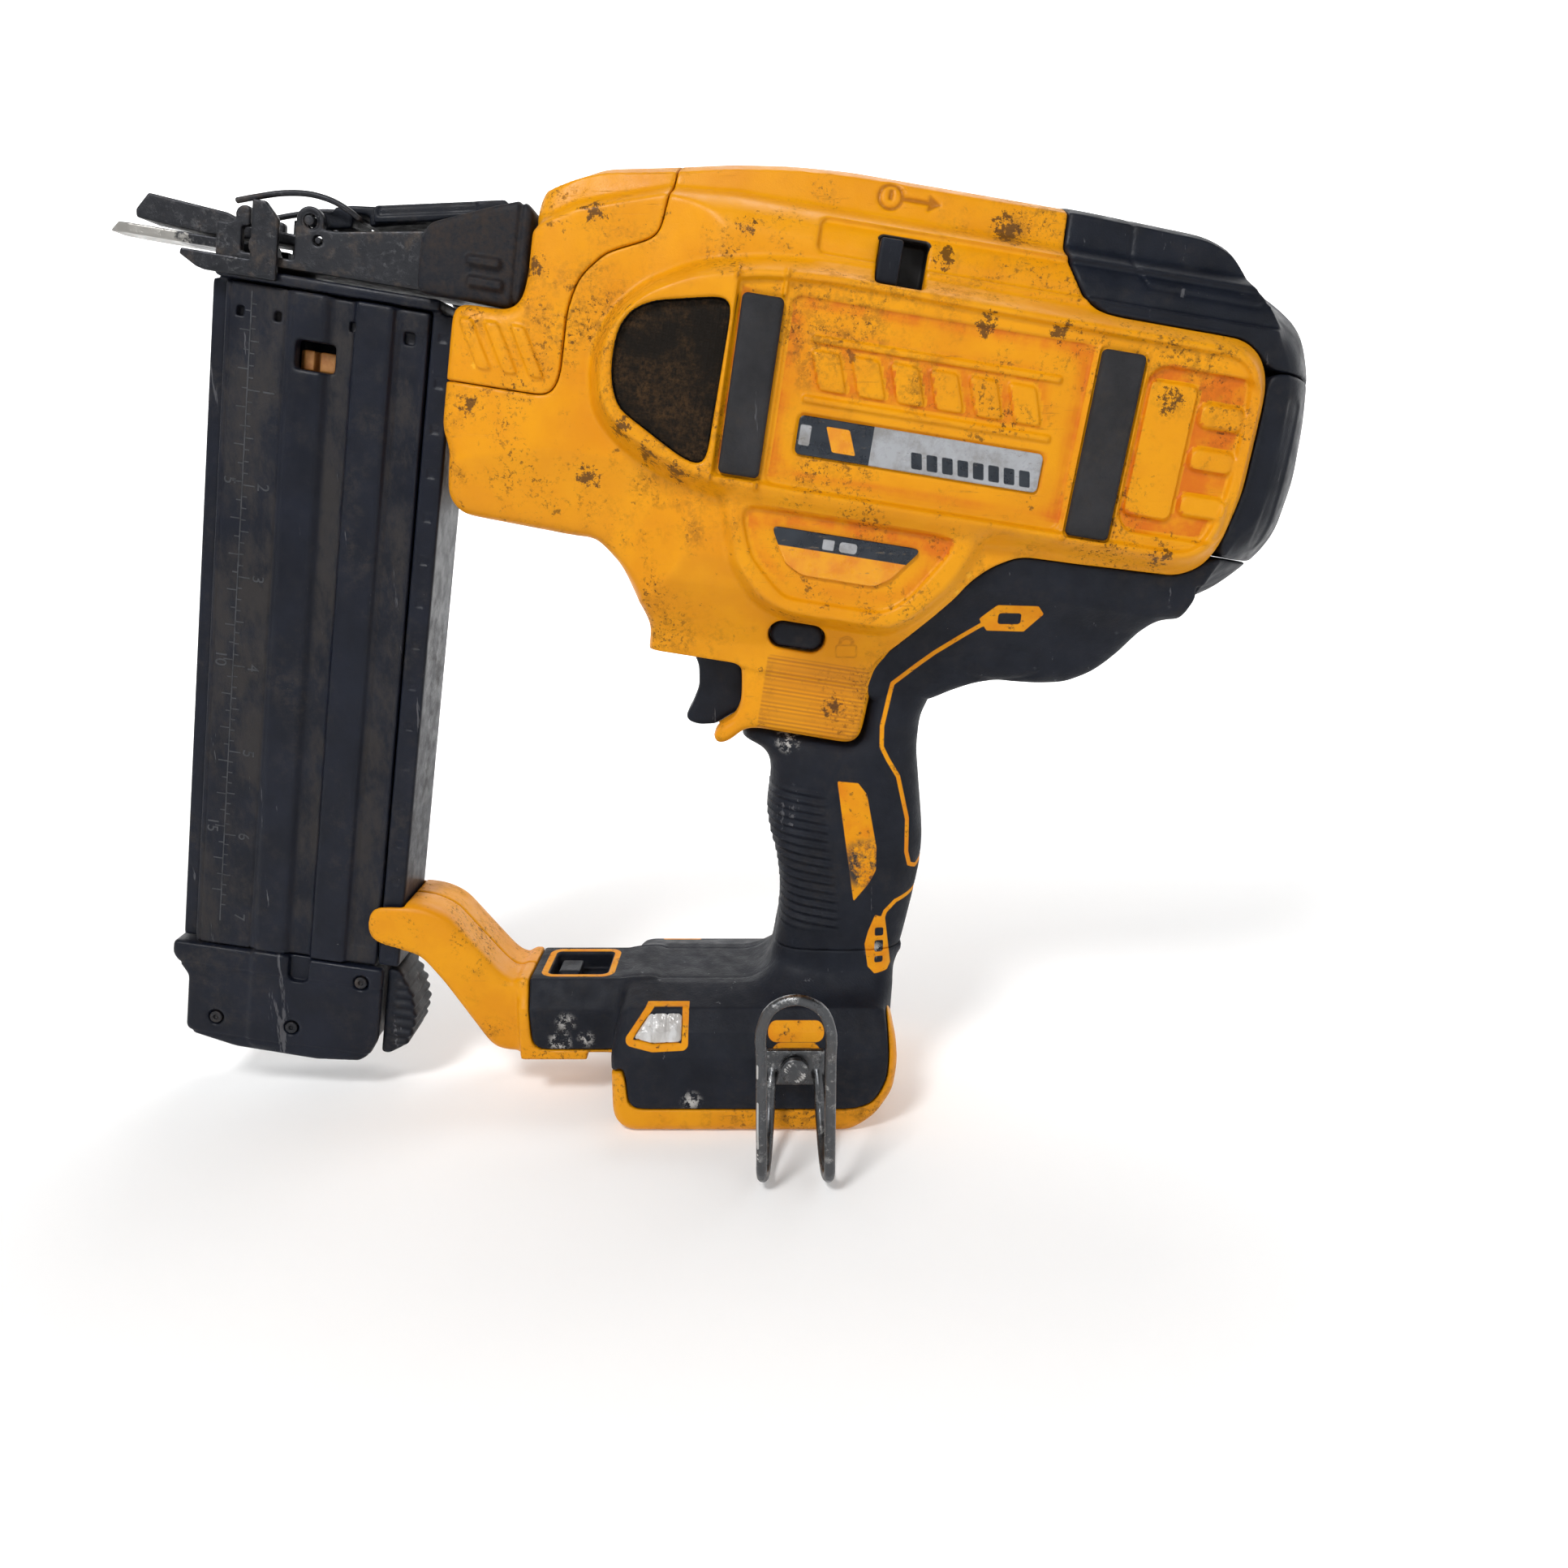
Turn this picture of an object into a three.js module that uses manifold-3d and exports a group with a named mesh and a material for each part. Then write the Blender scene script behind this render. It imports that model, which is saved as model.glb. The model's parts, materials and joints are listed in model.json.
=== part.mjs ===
// Cordless 18 gauge brad nailer, standing on its foot. Millimetres, +Z up, +X from the nose to the rear,
// -Y towards the side that carries the ruler. Z = 0 is the surface that the foot stands on.
// The drive frame (u along the nail's path to the rear, w up from the nail's path) is tilted nose-up.
import * as THREE from "three";
import { mergeVertices } from "three/addons/utils/BufferGeometryUtils.js";
import Module from "manifold-3d";

const wasm = await Module();
wasm.setup();

// ---------------------------------------------------------------- driving dimensions
const TILT = THREE.MathUtils.degToRad(9); // the nail's path, nose-up from the foot
const MUZZLE = { x: -182.5, z: 252 }; // tip of the contact blade above the foot's frame
const GAP = 0.3; // air left between pieces that touch
const WALL = 3; // casing wall
const GRIP_WIDTH = 36; // handle, side to side
const FOOT_WIDTH = 72; // foot, side to side
const PANEL_HALF = 40; // half the body's width at the side panels
const RIDGE_HALF = 22; // half the width of the top ridge
const COVER_HALF = 27; // half the front cover's width
const ARM_HALF = 14; // half the width of the arm that holds the magazine
const MAG_HALF = 12; // half the magazine's thickness
const MAG_BOTTOM = -197.5; // where the magazine's rail ends, along w
const FLYWHEEL = { u: 196, w: -26, radius: 26, half: 9 };
const LEVER_PIVOT = { u: 57.3, w: 9.5 };
const BAIL_PIVOT = { u: 69, w: 12.4 };
const DOOR_PIVOT = { u: 59.5, w: 5 };
const RODS = { y: 12.5, w: 2.4, radius: 1.5 };
const HOOK = { x: 3.1, y: -70, half: 9, top: 57.5, foot: 3, wire: 1.6 };

// ---------------------------------------------------------------- materials
const finish = (color, roughness, metalness = 0) => new THREE.MeshStandardMaterial({ color, roughness,
  metalness });
const YELLOW = finish(0xf2a50c, 0.5);
const BLACK = finish(0x1c1e22, 0.6);
const RUBBER = finish(0x202327, 0.85);
const LABEL = finish(0x2a3440, 0.35);
const STEEL = finish(0x8d8f92, 0.35, 0.9);
const DARK_STEEL = finish(0x34363a, 0.45, 0.8);
const LENS = finish(0xd8dce0, 0.1);
const TAN = finish(0xc98a3c, 0.6);
const COPPER = finish(0x9a5b34, 0.5, 0.4);
const BOARD = finish(0x1f5a35, 0.6);

// ---------------------------------------------------------------- frames and solids
const tool = new THREE.Group();
const drive = new THREE.Group();
drive.position.set(MUZZLE.x, 0, MUZZLE.z);
drive.rotation.y = TILT;
tool.add(drive);

// A point of the drive frame as [x, z] on the foot's frame.
const d = (u, w) => [
  MUZZLE.x + u * Math.cos(TILT) + w * Math.sin(TILT),
  MUZZLE.z - u * Math.sin(TILT) + w * Math.cos(TILT),
];
const dAll = (points) => points.map(([u, w]) => d(u, w));

function solid(geometry) {
  const bare = geometry.index ? geometry.toNonIndexed() : geometry.clone();
  bare.deleteAttribute("normal");
  bare.deleteAttribute("uv");
  const merged = mergeVertices(bare, 1e-4);
  return new wasm.Manifold(new wasm.Mesh({
    numProp: 3,
    vertProperties: new Float32Array(merged.attributes.position.array),
    triVerts: new Uint32Array(merged.index.array),
  }));
}

function geometryOf(manifold) {
  const mesh = manifold.getMesh();
  const geometry = new THREE.BufferGeometry();
  geometry.setAttribute("position", new THREE.BufferAttribute(new Float32Array(mesh.vertProperties), 3));
  geometry.setIndex(new THREE.BufferAttribute(new Uint32Array(mesh.triVerts), 1));
  geometry.computeVertexNormals();
  return geometry;
}

function put(group, name, material, shape) {
  const mesh = new THREE.Mesh(shape.isBufferGeometry ? shape : geometryOf(shape), material);
  mesh.name = name;
  group.add(mesh);
}

const join = (...parts) => parts.reduce((whole, part) => whole.add(part));
const cut = (whole, ...parts) => parts.reduce((rest, part) => rest.subtract(part), whole);

// An outline in the side view (x or u across, z or w up), from y0 to y1.
function plate(outline, y0, y1) {
  const shape = new THREE.Shape(outline.map(([a, b]) => new THREE.Vector2(a, b)));
  const geometry = new THREE.ExtrudeGeometry(shape, { depth: y1 - y0, bevelEnabled: false });
  return solid(geometry.rotateX(Math.PI / 2).translate(0, y1, 0));
}
// The same on one side of the middle plane: side is -1 or 1.
const sidePlate = (outline, y0, y1, side) => (side > 0 ? plate(outline, y0, y1) : plate(outline, -y1, -y0));

// A section of [y, z] points along the first axis.
function alongX(section, x0, x1) {
  const shape = new THREE.Shape(section.map(([y, z]) => new THREE.Vector2(y, z)));
  const geometry = new THREE.ExtrudeGeometry(shape, { depth: x1 - x0, bevelEnabled: false });
  return solid(geometry.rotateX(Math.PI / 2).rotateZ(Math.PI / 2).translate(x0, 0, 0));
}

// A section of [x, y] points along the third axis.
function alongZ(section, z0, z1) {
  const shape = new THREE.Shape(section.map(([x, y]) => new THREE.Vector2(x, y)));
  return solid(new THREE.ExtrudeGeometry(shape, { depth: z1 - z0, bevelEnabled: false }).translate(0, 0, z0));
}

function box(x0, x1, y0, y1, z0, z1) {
  const geometry = new THREE.BoxGeometry(x1 - x0, y1 - y0, z1 - z0);
  return solid(geometry.translate((x0 + x1) / 2, (y0 + y1) / 2, (z0 + z1) / 2));
}

// A round bar across the tool, from y0 to y1.
function crossBar(a, b, radius, y0, y1, sides = 20) {
  return solid(new THREE.CylinderGeometry(radius, radius, y1 - y0, sides).translate(a, (y0 + y1) / 2, b));
}

// A closed ring profile of [radius, along] points turned about the Y axis through (a, b).
function turned(profile, a, b, sides = 28) {
  const closed = [...profile, profile[0]].map(([r, y]) => new THREE.Vector2(r, y));
  return solid(new THREE.LatheGeometry(closed, sides).translate(a, 0, b));
}

// A tube of the given radii along the first axis.
function sleeveX(x0, x1, y, z, inner, outer, sides = 14) {
  const profile = [[inner, 0], [outer, 0], [outer, x1 - x0], [inner, x1 - x0], [inner, 0]];
  const geometry = new THREE.LatheGeometry(profile.map(([r, h]) => new THREE.Vector2(r, h)), sides);
  return solid(geometry.rotateZ(-Math.PI / 2).translate(x0, y, z));
}

// Every corner of an outline moved inwards by a distance.
function inset(points, distance) {
  const area = points.reduce((sum, [x, y], i) => {
    const [nx, ny] = points[(i + 1) % points.length];
    return sum + x * ny - nx * y;
  }, 0);
  const turn = Math.sign(area) * distance;
  return points.map(([x, y], i) => {
    const before = points[(i + points.length - 1) % points.length];
    const after = points[(i + 1) % points.length];
    const a = new THREE.Vector2(x - before[0], y - before[1]).normalize();
    const b = new THREE.Vector2(after[0] - x, after[1] - y).normalize();
    const normal = new THREE.Vector2(-(a.y + b.y), a.x + b.x).normalize();
    const stretch = Math.max(0.5, normal.dot(new THREE.Vector2(-a.y, a.x)));
    return [x + (normal.x * turn) / stretch, y + (normal.y * turn) / stretch];
  });
}

// ---------------------------------------------------------------- outlines of the casings
// Drive frame: where the yellow casing meets the black rear, from the top ridge to the trigger.
const REAR_EDGE = [
  [252, 46], [252.5, 30], [258, 20], [263, 16.2], [300, 16], [306, 12], [308.5, 4], [308.5, -22],
  [306, -35], [303, -41], [297, -44.5], [255, -46], [248, -50], [240, -60], [230, -73], [222, -83], [222, -88],
];
const COVER_SEAM = [[152, 40], [152, 34], [150, 18], [146, 16], [137, 12], [131, 5], [129, -3], [129, -20],
  [127, -25]];
const BODY = dAll([
  [152.4, 40.3], [165, 43], [195, 46], ...REAR_EDGE, [190, -90], [165, -86], [160, -81], [150, -66],
  [142, -59.5],
  [105, -59], [101, -55], [101, -42], [98.5, -38], [98.5, -25.4], [127.2, -25.4], [129.4, -20], [129.4, -3],
  [131.4, 4.8], [137.2, 11.6], [146.1, 15.6], [150.4, 17.6], [152.4, 34],
]);
const TRIGGER_ZONE = [
  ...dAll([[222, -80], [222, -88]]), [22, 115], [20, 113], [-9, 118.5], [-12, 118], [-15, 115], [-19, 114],
  [-18, 118],
  [-12, 121], [-12, 140], ...dAll([[165, -86.5], [162, -83]]),
];
const TRIGGER_ROOM = [...dAll([[217, -74], [218.4, -88]]), [19.4, 117.5], [-8, 122.5], [-8, 143]];
const PANEL = dAll([
  [139, -3], [148, 6], [160, 12], [178, 16], [300, 15.8], [306, 11.8], [308.4, 4], [308.4, -22], [305.8, -35],
  [302, -41], [297, -43.5], [172, -43], [160, -40], [146, -34], [139, -27], [137, -17],
]);
const BOSS = dAll([[172, -40], [180, -62], [188, -70], [197, -73], [225, -73], [233, -66], [240, -56],
  [246, -42]]);
const HANDLE = [
  [-15, 113.6], [-9, 117.8], [20, 112.4], [22.6, 114.8],
  ...dAll([[222.5, -87]]), ...dAll([[242, -98]]), [39.2, 117],
  [39, 110], [40.8, 92], [41, 75], [38.5, 63], [34, 45], [30.5, 37], [-5, 37], [-3, 50], [-1, 65],
  [-4, 88], [-4, 107],
  [-6, 110],
];
const UNDER = dAll([
  [222.6, -87], [222.6, -83.2], [230.5, -73.4], [240.4, -60.4], [248.3, -50.6], [255.1, -46.4], [297, -44.9],
  [303.4, -41.4], [305.5, -38.6], [327, -38.6], [323, -43], [318, -48], [310, -53], [297, -57.5],
  [290, -69], [285, -75],
  [278, -79.5], [258, -82], [252, -84], [246, -88], [243, -93], [242, -99], [236, -104], [224, -92],
]);
const ARM = [
  [-124, 63], [-107, 62], [-101, 59], [-88, 43], [-84, 38.5], [-80, 38], [-76, 36], [-76, 14.8], [-85, 15],
  [-89.6, 16.2], [-103.5, 37.6], [-110, 46], [-119.5, 48.8], [-125, 51.5], [-126.4, 55], [-125.6, 61],
];
const FOOT_SIDE = [
  [-50.5, 4], [-47, 0], [20, 0], [27, 5], [32, 13], [33, 22], [32.5, 30], [28.5, 42], [-46.4, 42], [-50.5, 25],
];

// Sections of the foot across the tool.
const footSection = (half, shoulder, top, bottom, flat) => [
  [-half, bottom], [half, bottom], [half, shoulder], [flat + 12, top - 6], [flat, top], [-flat, top],
  [-flat - 12, top - 6], [-half, shoulder],
];

// ---------------------------------------------------------------- casings
function housingBlank(side, thin, start) {
  const shrink = (outline) => (thin ? inset(outline, thin) : outline);
  const low = start ?? 0.15;
  const clip = (outline, half) => sidePlate(shrink(outline), low, half - thin, side);
  const shoulder = dAll([[60, 31 - thin], [320, 31 - thin], [320, 60], [60, 60]]);
  const body = cut(clip(BODY, 32), sidePlate(shoulder, RIDGE_HALF - thin, 60, side),
    sidePlate(dAll([[90, thin - 60], [170 + thin, thin - 60], [170 + thin, -110],
      [90, -110]]), 22 - thin, 60, side));
  const grip = sidePlate(thin ? TRIGGER_ROOM : TRIGGER_ZONE, low, GRIP_WIDTH / 2 - thin, side);
  return join(body, grip, clip(PANEL, PANEL_HALF), clip(BOSS, 37));
}

const HANDLE_CORE = [
  [-0.5, 125], [-1, 108], [-1, 92], [-0.3, 85], [2.3, 77], [2.3, 60], [0.5, 48], [-1, 36], [27, 36],
  [30.6, 46], [35, 64],
  [37.4, 75], [37.2, 92], [35.6, 110], [36, 117], [22, 118], [22, 125],
];
const HANDLE_SEAT = plate(inset(HANDLE_CORE, -GAP), -14.3, 14.3);
const bay = box(-52, 19, -29, 29, -1, 17);
const railOf = (side) => (side > 0 ? box(-46, 17, 22, 29.5, 3.5, 7.5) : box(-46, 17, -29.5, -22, 3.5, 7.5));
const STALL_WINDOW = dAll([[204.5, 13.8], [218.5, 13.8], [218.5, 26.2], [204.5, 26.2]]);
const VENT = dAll([[145, -5], [150, -0.7], [170.8, 2.9], [170.8, -33.4], [146.2, -24.4], [145, -15]]);
const PAD_SPANS = [[173.5, 184, 6.7, -37], [263.8, 275, 7.6, -38.4]];
const padOutline = ([u0, u1, top, low], grow) => dAll([
  [u0 - grow, low - grow], [u1 + grow, low - grow], [u1 + grow, top + grow], [u0 - grow, top + grow],
]);
const LOCK_BUTTON = (grow) => {
  const [cx, cz] = [3.5, 144.3];
  return Array.from({ length: 24 }, (_, i) => {
    const angle = (i / 24) * 2 * Math.PI;
    const shift = Math.cos(angle) > 0 ? 3.9 : -3.9;
    const x = shift + (3.6 + grow) * Math.cos(angle);
    const z = (3.6 + grow) * Math.sin(angle);
    return [cx + x * Math.cos(TILT) + z * Math.sin(TILT), cz - x * Math.sin(TILT) + z * Math.cos(TILT)];
  });
};

function housing(side) {
  const ownSide = side > 0 ? box(-300, 300, 0.15, 99, -99, 400) : box(-300, 300, -99, -0.15, -99, 400);
  const half = (shape) => shape.intersect(ownSide);
  const handleCore = sidePlate(HANDLE_CORE, 0.15, 14, side);
  const handleBore = sidePlate(inset(HANDLE_CORE, WALL), -1, 11, side);
  const base = sidePlate(FOOT_SIDE.slice(0, 7).concat([[30, 37], [27.6, 37], [29.2, 29], [29.6, 22],
    [28.8, 14.5], [25, 8.4],
    [20, 7.5], [-46.3, 7.5], [-46.3, 24.6], [-50.5, 24.6]]), 0.15, FOOT_WIDTH / 2, side);
  const core = half(alongX(footSection(33, 24, 36, 5, 12), -46, 27));
  const neck = half(box(-78, -44, -14, 14, 14.6, 35.5));
  const arm = sidePlate(ARM, 0.15, ARM_HALF, side);
  const armCore = sidePlate(inset(ARM, WALL), -1, ARM_HALF - WALL, side);
  const magazineSlot = plate(dAll([[60, -150], [97.5, -150], [97.5, -230], [60, -230]]), -12.5, 12.5);
  const footRoom = alongX(footSection(29, 23, 33, 19.5, 10), -43, 24);
  const neckRoom = box(-80, -40, -11, 11, 17.6, 32.5);
  const triggerRoom = plate([[-40, 115.5], [4, 113.5], [4, 142.6], [-10, 144.6], [-40, 152]], -7.6, 7.6);
  const handleMouth = plate([[6, 30], [24, 30], [27, 60], [28, 112], [24, 128], [6, 128]], -9, 9);
  const pads = PAD_SPANS.map((span) => sidePlate(padOutline(span, GAP), 38.4, 50, side));
  const whole = cut(
    join(housingBlank(side, 0), handleCore, base, core, neck, arm),
    cut(housingBlank(side, WALL, -1), sidePlate(VENT, 60, 61, side)),
      handleBore, armCore, footRoom, neckRoom, magazineSlot,
    triggerRoom, handleMouth, bay,
    sidePlate(VENT, 30, 60, side), sidePlate(STALL_WINDOW, 20, 60, side), ...pads,
    plate(LOCK_BUTTON(0.35), -50, 50), plate(dAll([[85, -3.6], [138, -3.6], [138, 9.4],
      [85, 9.4]]), -17.6, 17.6),
    crossBar(HOOK.x, 23, 2.4, -40, -28),
    box(-71.2, -55, -6, 6, 30, 50),
  );
  return join(whole, railOf(side));
}
put(tool, "housing_left", YELLOW, housing(-1));
put(tool, "housing_right", YELLOW, housing(1));

function frontCover() {
  const seam = COVER_SEAM.slice(1, 8).map(([u, w]) => [u - 0.2, w]);
  const outline = dAll([[117.4, 20], [118, 25], [125, 33], [131, 36.5], [151.8, 40], ...seam,
    [127, -24.9], [98.5, -24.9], [98.5, -5.2], [113.3, -5.2], [116.3, -3], [117.4, 3]]);
  const hollow = join(
    plate(inset(outline, WALL), -COVER_HALF + WALL, COVER_HALF - WALL),
    plate(dAll([[122, -21], [150, -21], [150, 35], [128, 31]]), -COVER_HALF + WALL, COVER_HALF - WALL),
    plate(dAll([[90, -21], [150, -21], [150, 10], [90, 10]]), -20, 20),
  );
  const ridge = plate(dAll([[60, 31], [160, 31], [160, 60], [60, 60]]), RIDGE_HALF, 60);
  const ridgeFar = plate(dAll([[60, 31], [160, 31], [160, 60], [60, 60]]), -60, -RIDGE_HALF);
  return cut(plate(outline, -COVER_HALF, COVER_HALF), hollow, ridge, ridgeFar);
}
put(tool, "front_cover", YELLOW, frontCover());

// ---------------------------------------------------------------- rubber overmould
function gripOvermould() {
  const half = GRIP_WIDTH / 2;
  const room = dAll([[256, -40], [298, -40], [292, -58], [284, -70], [276, -75], [262, -77], [252, -72],
    [250, -56]]);
  const hollow = plate(room, -26, 26);
  const footClear = box(-60, 60, -40, 40, 0, 42.5);
  return cut(join(plate(HANDLE, -half, half), plate(UNDER, -30, 30)), hollow, HANDLE_SEAT, footClear);
}
put(tool, "grip_overmould", RUBBER, gripOvermould());

const SWITCH_SLOT = box(-71.5, -54.5, -7.5, 7.5, 34, 60);
const lensSeat = (side) => (side > 0 ? box(-45, -29, 27, 50, 27, 37.5) : box(-45, -29, -50, -27, 27, 37.5));
function footOvermould() {
  const block = alongX(footSection(36, 24, 39.4, 7.8, 16), -46, 31);
  const nose = alongX([[-18, 18], [18, 18], [18, 31], [13, 39], [-13, 39], [-18, 31]], -75.6, -45);
  const root = plate([[-8, 36], [34, 36], [34.5, 42.2], [-5, 42.2]], -18, 18);
  const inner = alongX(footSection(33.3, 24.2, 36.3, 5, 12.2), -46.8, 27.3);
  const rear = plate([
    [19.9, 7], [40, 5], [40, 50], [27.2, 42], [27.2, 37], [28.8, 29], [29.2, 22], [28.4, 14.8],
    [24.7, 8.9], [19.9, 8],
  ], -50, 50);
  return cut(join(block, nose, root), inner, rear, box(-90, -40, -14.3, 14.3, 10, 35.8),
    box(-50.6, -46, -50, 50, -1, 25),
    HANDLE_SEAT, plate([[27, 36], [27, 44], [50, 44], [50, 36]],
      -50, 50), SWITCH_SLOT, lensSeat(1), lensSeat(-1),
    crossBar(HOOK.x, 23, 4.4, -40, -30));
}
put(tool, "foot_overmould", RUBBER, footOvermould());

// ---------------------------------------------------------------- rear bumpers
const BUMPER_TOP = dAll([
  [252.4, 45.6], [290, 45], [298, 42.5], [303, 39], [306, 35], [314, 32.5], [322, 28], [326, 23],
  [329.5, 13], [330, 10.2],
  [310, 10.2], [306.6, 12.4], [300.3, 16.4], [263.1, 16.6], [258.3, 20.4], [252.9, 30.2],
]);
const BUMPER_BACK = dAll([
  [309.2, 9.8], [330.1, 9.8], [332, 0], [333, -15], [331.5, -30], [327.4, -38], [305.7, -38], [306.6, -35],
  [308.9, -22],
  [308.9, 4],
]);
const BUMPER_ROOMS = [
  plate(dAll([[262, 5], [310.5, 5], [312, 26], [290, 41.5], [256.5, 41.5], [256.5, 30]]), -18, 18),
  plate(dAll([[300, 6], [327, 6], [329, -15], [327, -30], [324, -35], [300, -35]]), -28, 28),
];
function bumper(outline) {
  const shoulder = dAll([[240, 60], [330, 60], [330, 36], [240, 36]]);
  return cut(plate(outline, -33, 33), plate(shoulder, 25, 60), plate(shoulder, -60, -25), ...BUMPER_ROOMS);
}
put(tool, "rear_bumper_top", BLACK, bumper(BUMPER_TOP));
put(tool, "rear_bumper_back", BLACK, bumper(BUMPER_BACK));

// ---------------------------------------------------------------- trim on both sides
for (const [side, word] of [[-1, "left"], [1, "right"]]) {
  PAD_SPANS.forEach((span, i) => {
    put(tool, `${i ? "rear" : "front"}_pad_${word}`, RUBBER, sidePlate(padOutline(span, 0), 38.7, 41.6, side));
  });
  put(tool, `vent_screen_${word}`, DARK_STEEL, sidePlate(inset(VENT, GAP), 37.6, 38.4, side));
  put(tool, `label_plate_${word}`, LABEL,
    sidePlate(dAll([[192, -29.4], [254.8, -29.4], [254.8, -19.7], [192, -19.7]]), 40.2, 40.7, side));
  put(tool, `gauge_badge_${word}`, LABEL,
    sidePlate(dAll([[189, -48], [229, -48], [222, -57], [218, -59.5], [199, -59.5],
      [194, -57]]), 37.2, 37.7, side));
  put(tool, `work_light_lens_${word}`, LENS,
    sidePlate([[-44, 29], [-38, 36.8], [-29.6, 36.8], [-29.6, 28], [-38, 27.6]], 30, 36, side)
      .intersect(alongX(footSection(35.8, 24, 39.2, 7.8, 15.8), -46, -20)));
}

// ---------------------------------------------------------------- nose
function noseBoot() {
  const outline = [[88.4, -4.2], [97.8, -4.2], [113, -4.6], [115.6, -2.6], [116.8, 3], [116.8, 20],
    [114, 22.3], [106, 19.5],
    [90.5, 13.2], [88.4, 9.5]];
  return cut(plate(outline, -21, 21), plate([[80, -3.5], [125, -3.5], [125, 8], [80, 8]], -13.2, 13.2),
    plate([[84, 12.4], [112.8, 17.6], [118, 40], [84, 40]], -11.8, 11.8));
}
put(drive, "nose_boot", RUBBER, noseBoot());

const circle = (a, b, radius, count = 20) => Array.from({ length: count }, (_, i) => {
  const angle = (i / count) * 2 * Math.PI;
  return [a + radius * Math.cos(angle), b + radius * Math.sin(angle)];
});

function noseCasting() {
  const floor = join(box(33, 118, -12.7, 12.7, -3.2, -0.7), box(117.2, 120.7, -18, 18, -6, 8));
  const cheek = (side) => join(
    sidePlate([[53.5, -1], [88, -3], [88.2, 9], [88, 12], [64, 8], [53.5, 8]], 10, 12.7, side),
    sidePlate(circle(LEVER_PIVOT.u, LEVER_PIVOT.w, 3.7), 10, 12.7, side),
    sidePlate([[33, -3], [39.6, -3], [39.6, 6], [41, 6], [41, 8.7], [36, 6], [33, 6]], 10, 12.7, side),
    sidePlate(circle(40.4, 8.2, 2.6), 10, 12.7, side),
    sidePlate([[33, -3], [54, -3], [54, -0.9], [33, -0.9]], 10, 12.7, side),
    sidePlate([[88, -3], [118, -3], [118, 6], [88, 6]], 10, 12.7, side),
  );
  const window = box(110, 125, -7.6, 7.6, -0.4, 6.6);
  return cut(join(floor, cheek(1), cheek(-1)), window,
    crossBar(LEVER_PIVOT.u, LEVER_PIVOT.w, 1.7, -20, 20), crossBar(DOOR_PIVOT.u, DOOR_PIVOT.w, 1.3, -20, 20),
    box(41.8, 53.4, -16, 16, -0.6, 20));
}
put(drive, "nose_casting", DARK_STEEL, noseCasting());

function contactTrip() {
  const blade = alongX([[-6, -0.3], [6, -0.3], [6, 2.4], [2, 2.4], [2, 0.5], [-2, 0.5], [-2, 2.4],
    [-6, 2.4]], 0, 46.5);
  const tip = cut(blade, plate([[-1, 3], [4, 3], [-1, -2]], -20, 20), alongZ([[-1, 3], [9, 7], [-1, 7]], -5, 5),
    alongZ([[-1, -3], [-1, -7], [9, -7]], -5, 5));
  const yoke = cut(box(42.5, 46.5, -15, 15, -0.3, 2.4), box(40, 48, -2, 2, 0.5, 5));
  const bracket = (side) => join(
    sidePlate([[43, -7], [50, -7], [50, 8.5], [46.5, 12.3], [43, 12.3]], 13.2, 15, side),
    sidePlate([[24.6, -4], [29, -6.5], [31, -7], [44, -7], [44, -2.5], [25, -2.5]], 13.2, 15, side),
  );
  return join(tip, yoke, bracket(1), bracket(-1));
}
put(drive, "contact_trip", DARK_STEEL, contactTrip());

function noseDoor() {
  const plank = plate([
    [8.8, 6], [12, 10.6], [33, 9], [39, 6.6], [55, 6.2], [59.5, 6.4], [59.5, 3.6], [39, 3.2], [27, 2.9], [9, 4],
  ], -6.5, 6.5);
  const barrel = crossBar(DOOR_PIVOT.u, DOOR_PIVOT.w, 1.8, -6.5, 6.5);
  return cut(join(plank, barrel), crossBar(DOOR_PIVOT.u, DOOR_PIVOT.w, 1.15, -20, 20));
}
put(drive, "nose_door", DARK_STEEL, noseDoor());
put(drive, "door_pin", STEEL, crossBar(DOOR_PIVOT.u, DOOR_PIVOT.w, 0.9, -12.4, 12.4, 12));

function latchLever() {
  const wedge = plate([[61.6, 8.9], [88, 14.6], [109.5, 20.2], [107, 23], [75, 16.6], [66, 15.6],
    [61.6, 14.4]], -8.4, 8.4);
  const wings = plate([[73, 11.8], [88, 14.6], [109.5, 20.2], [107, 23], [75, 16.6], [73, 16.2]], -11, 11);
  const ear = (side) => join(
    sidePlate(circle(LEVER_PIVOT.u, LEVER_PIVOT.w, 3.1), 6.9, 9.6, side),
    sidePlate([[57.3, 7.8], [64, 9.4], [64, 14.2], [57.3, 12.2]], 6.9, 8.3, side),
  );
  const groove = plate([[66.8, 5], [71.2, 5], [71.2, 13.8], [66.8, 13.8]], -20, 20);
  return cut(join(wedge, wings, ear(1), ear(-1)), groove, crossBar(LEVER_PIVOT.u, LEVER_PIVOT.w, 1.7, -20, 20));
}
put(drive, "latch_lever", BLACK, latchLever());
// Two stub pins, one in each ear, so that the door can swing up between them.
for (const [side, word] of [[-1, "left"], [1, "right"]]) {
  const [inner, outer] = [6.8, 13.6];
  const ends = [side * inner, side * outer].sort((a, b) => a - b);
  put(drive, `lever_pin_${word}`, STEEL, crossBar(LEVER_PIVOT.u, LEVER_PIVOT.w, 1.35, ...ends, 16));
}

function tube(points, radius, sides, steps) {
  const path = new THREE.CatmullRomCurve3(points.map((p) => new THREE.Vector3(...p)), false, "centripetal");
  const section = new THREE.Shape(circle(0, 0, radius, sides).map(([x, y]) => new THREE.Vector2(x, y)));
  return solid(new THREE.ExtrudeGeometry(section, { steps, extrudePath: path, bevelEnabled: false }));
}

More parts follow.
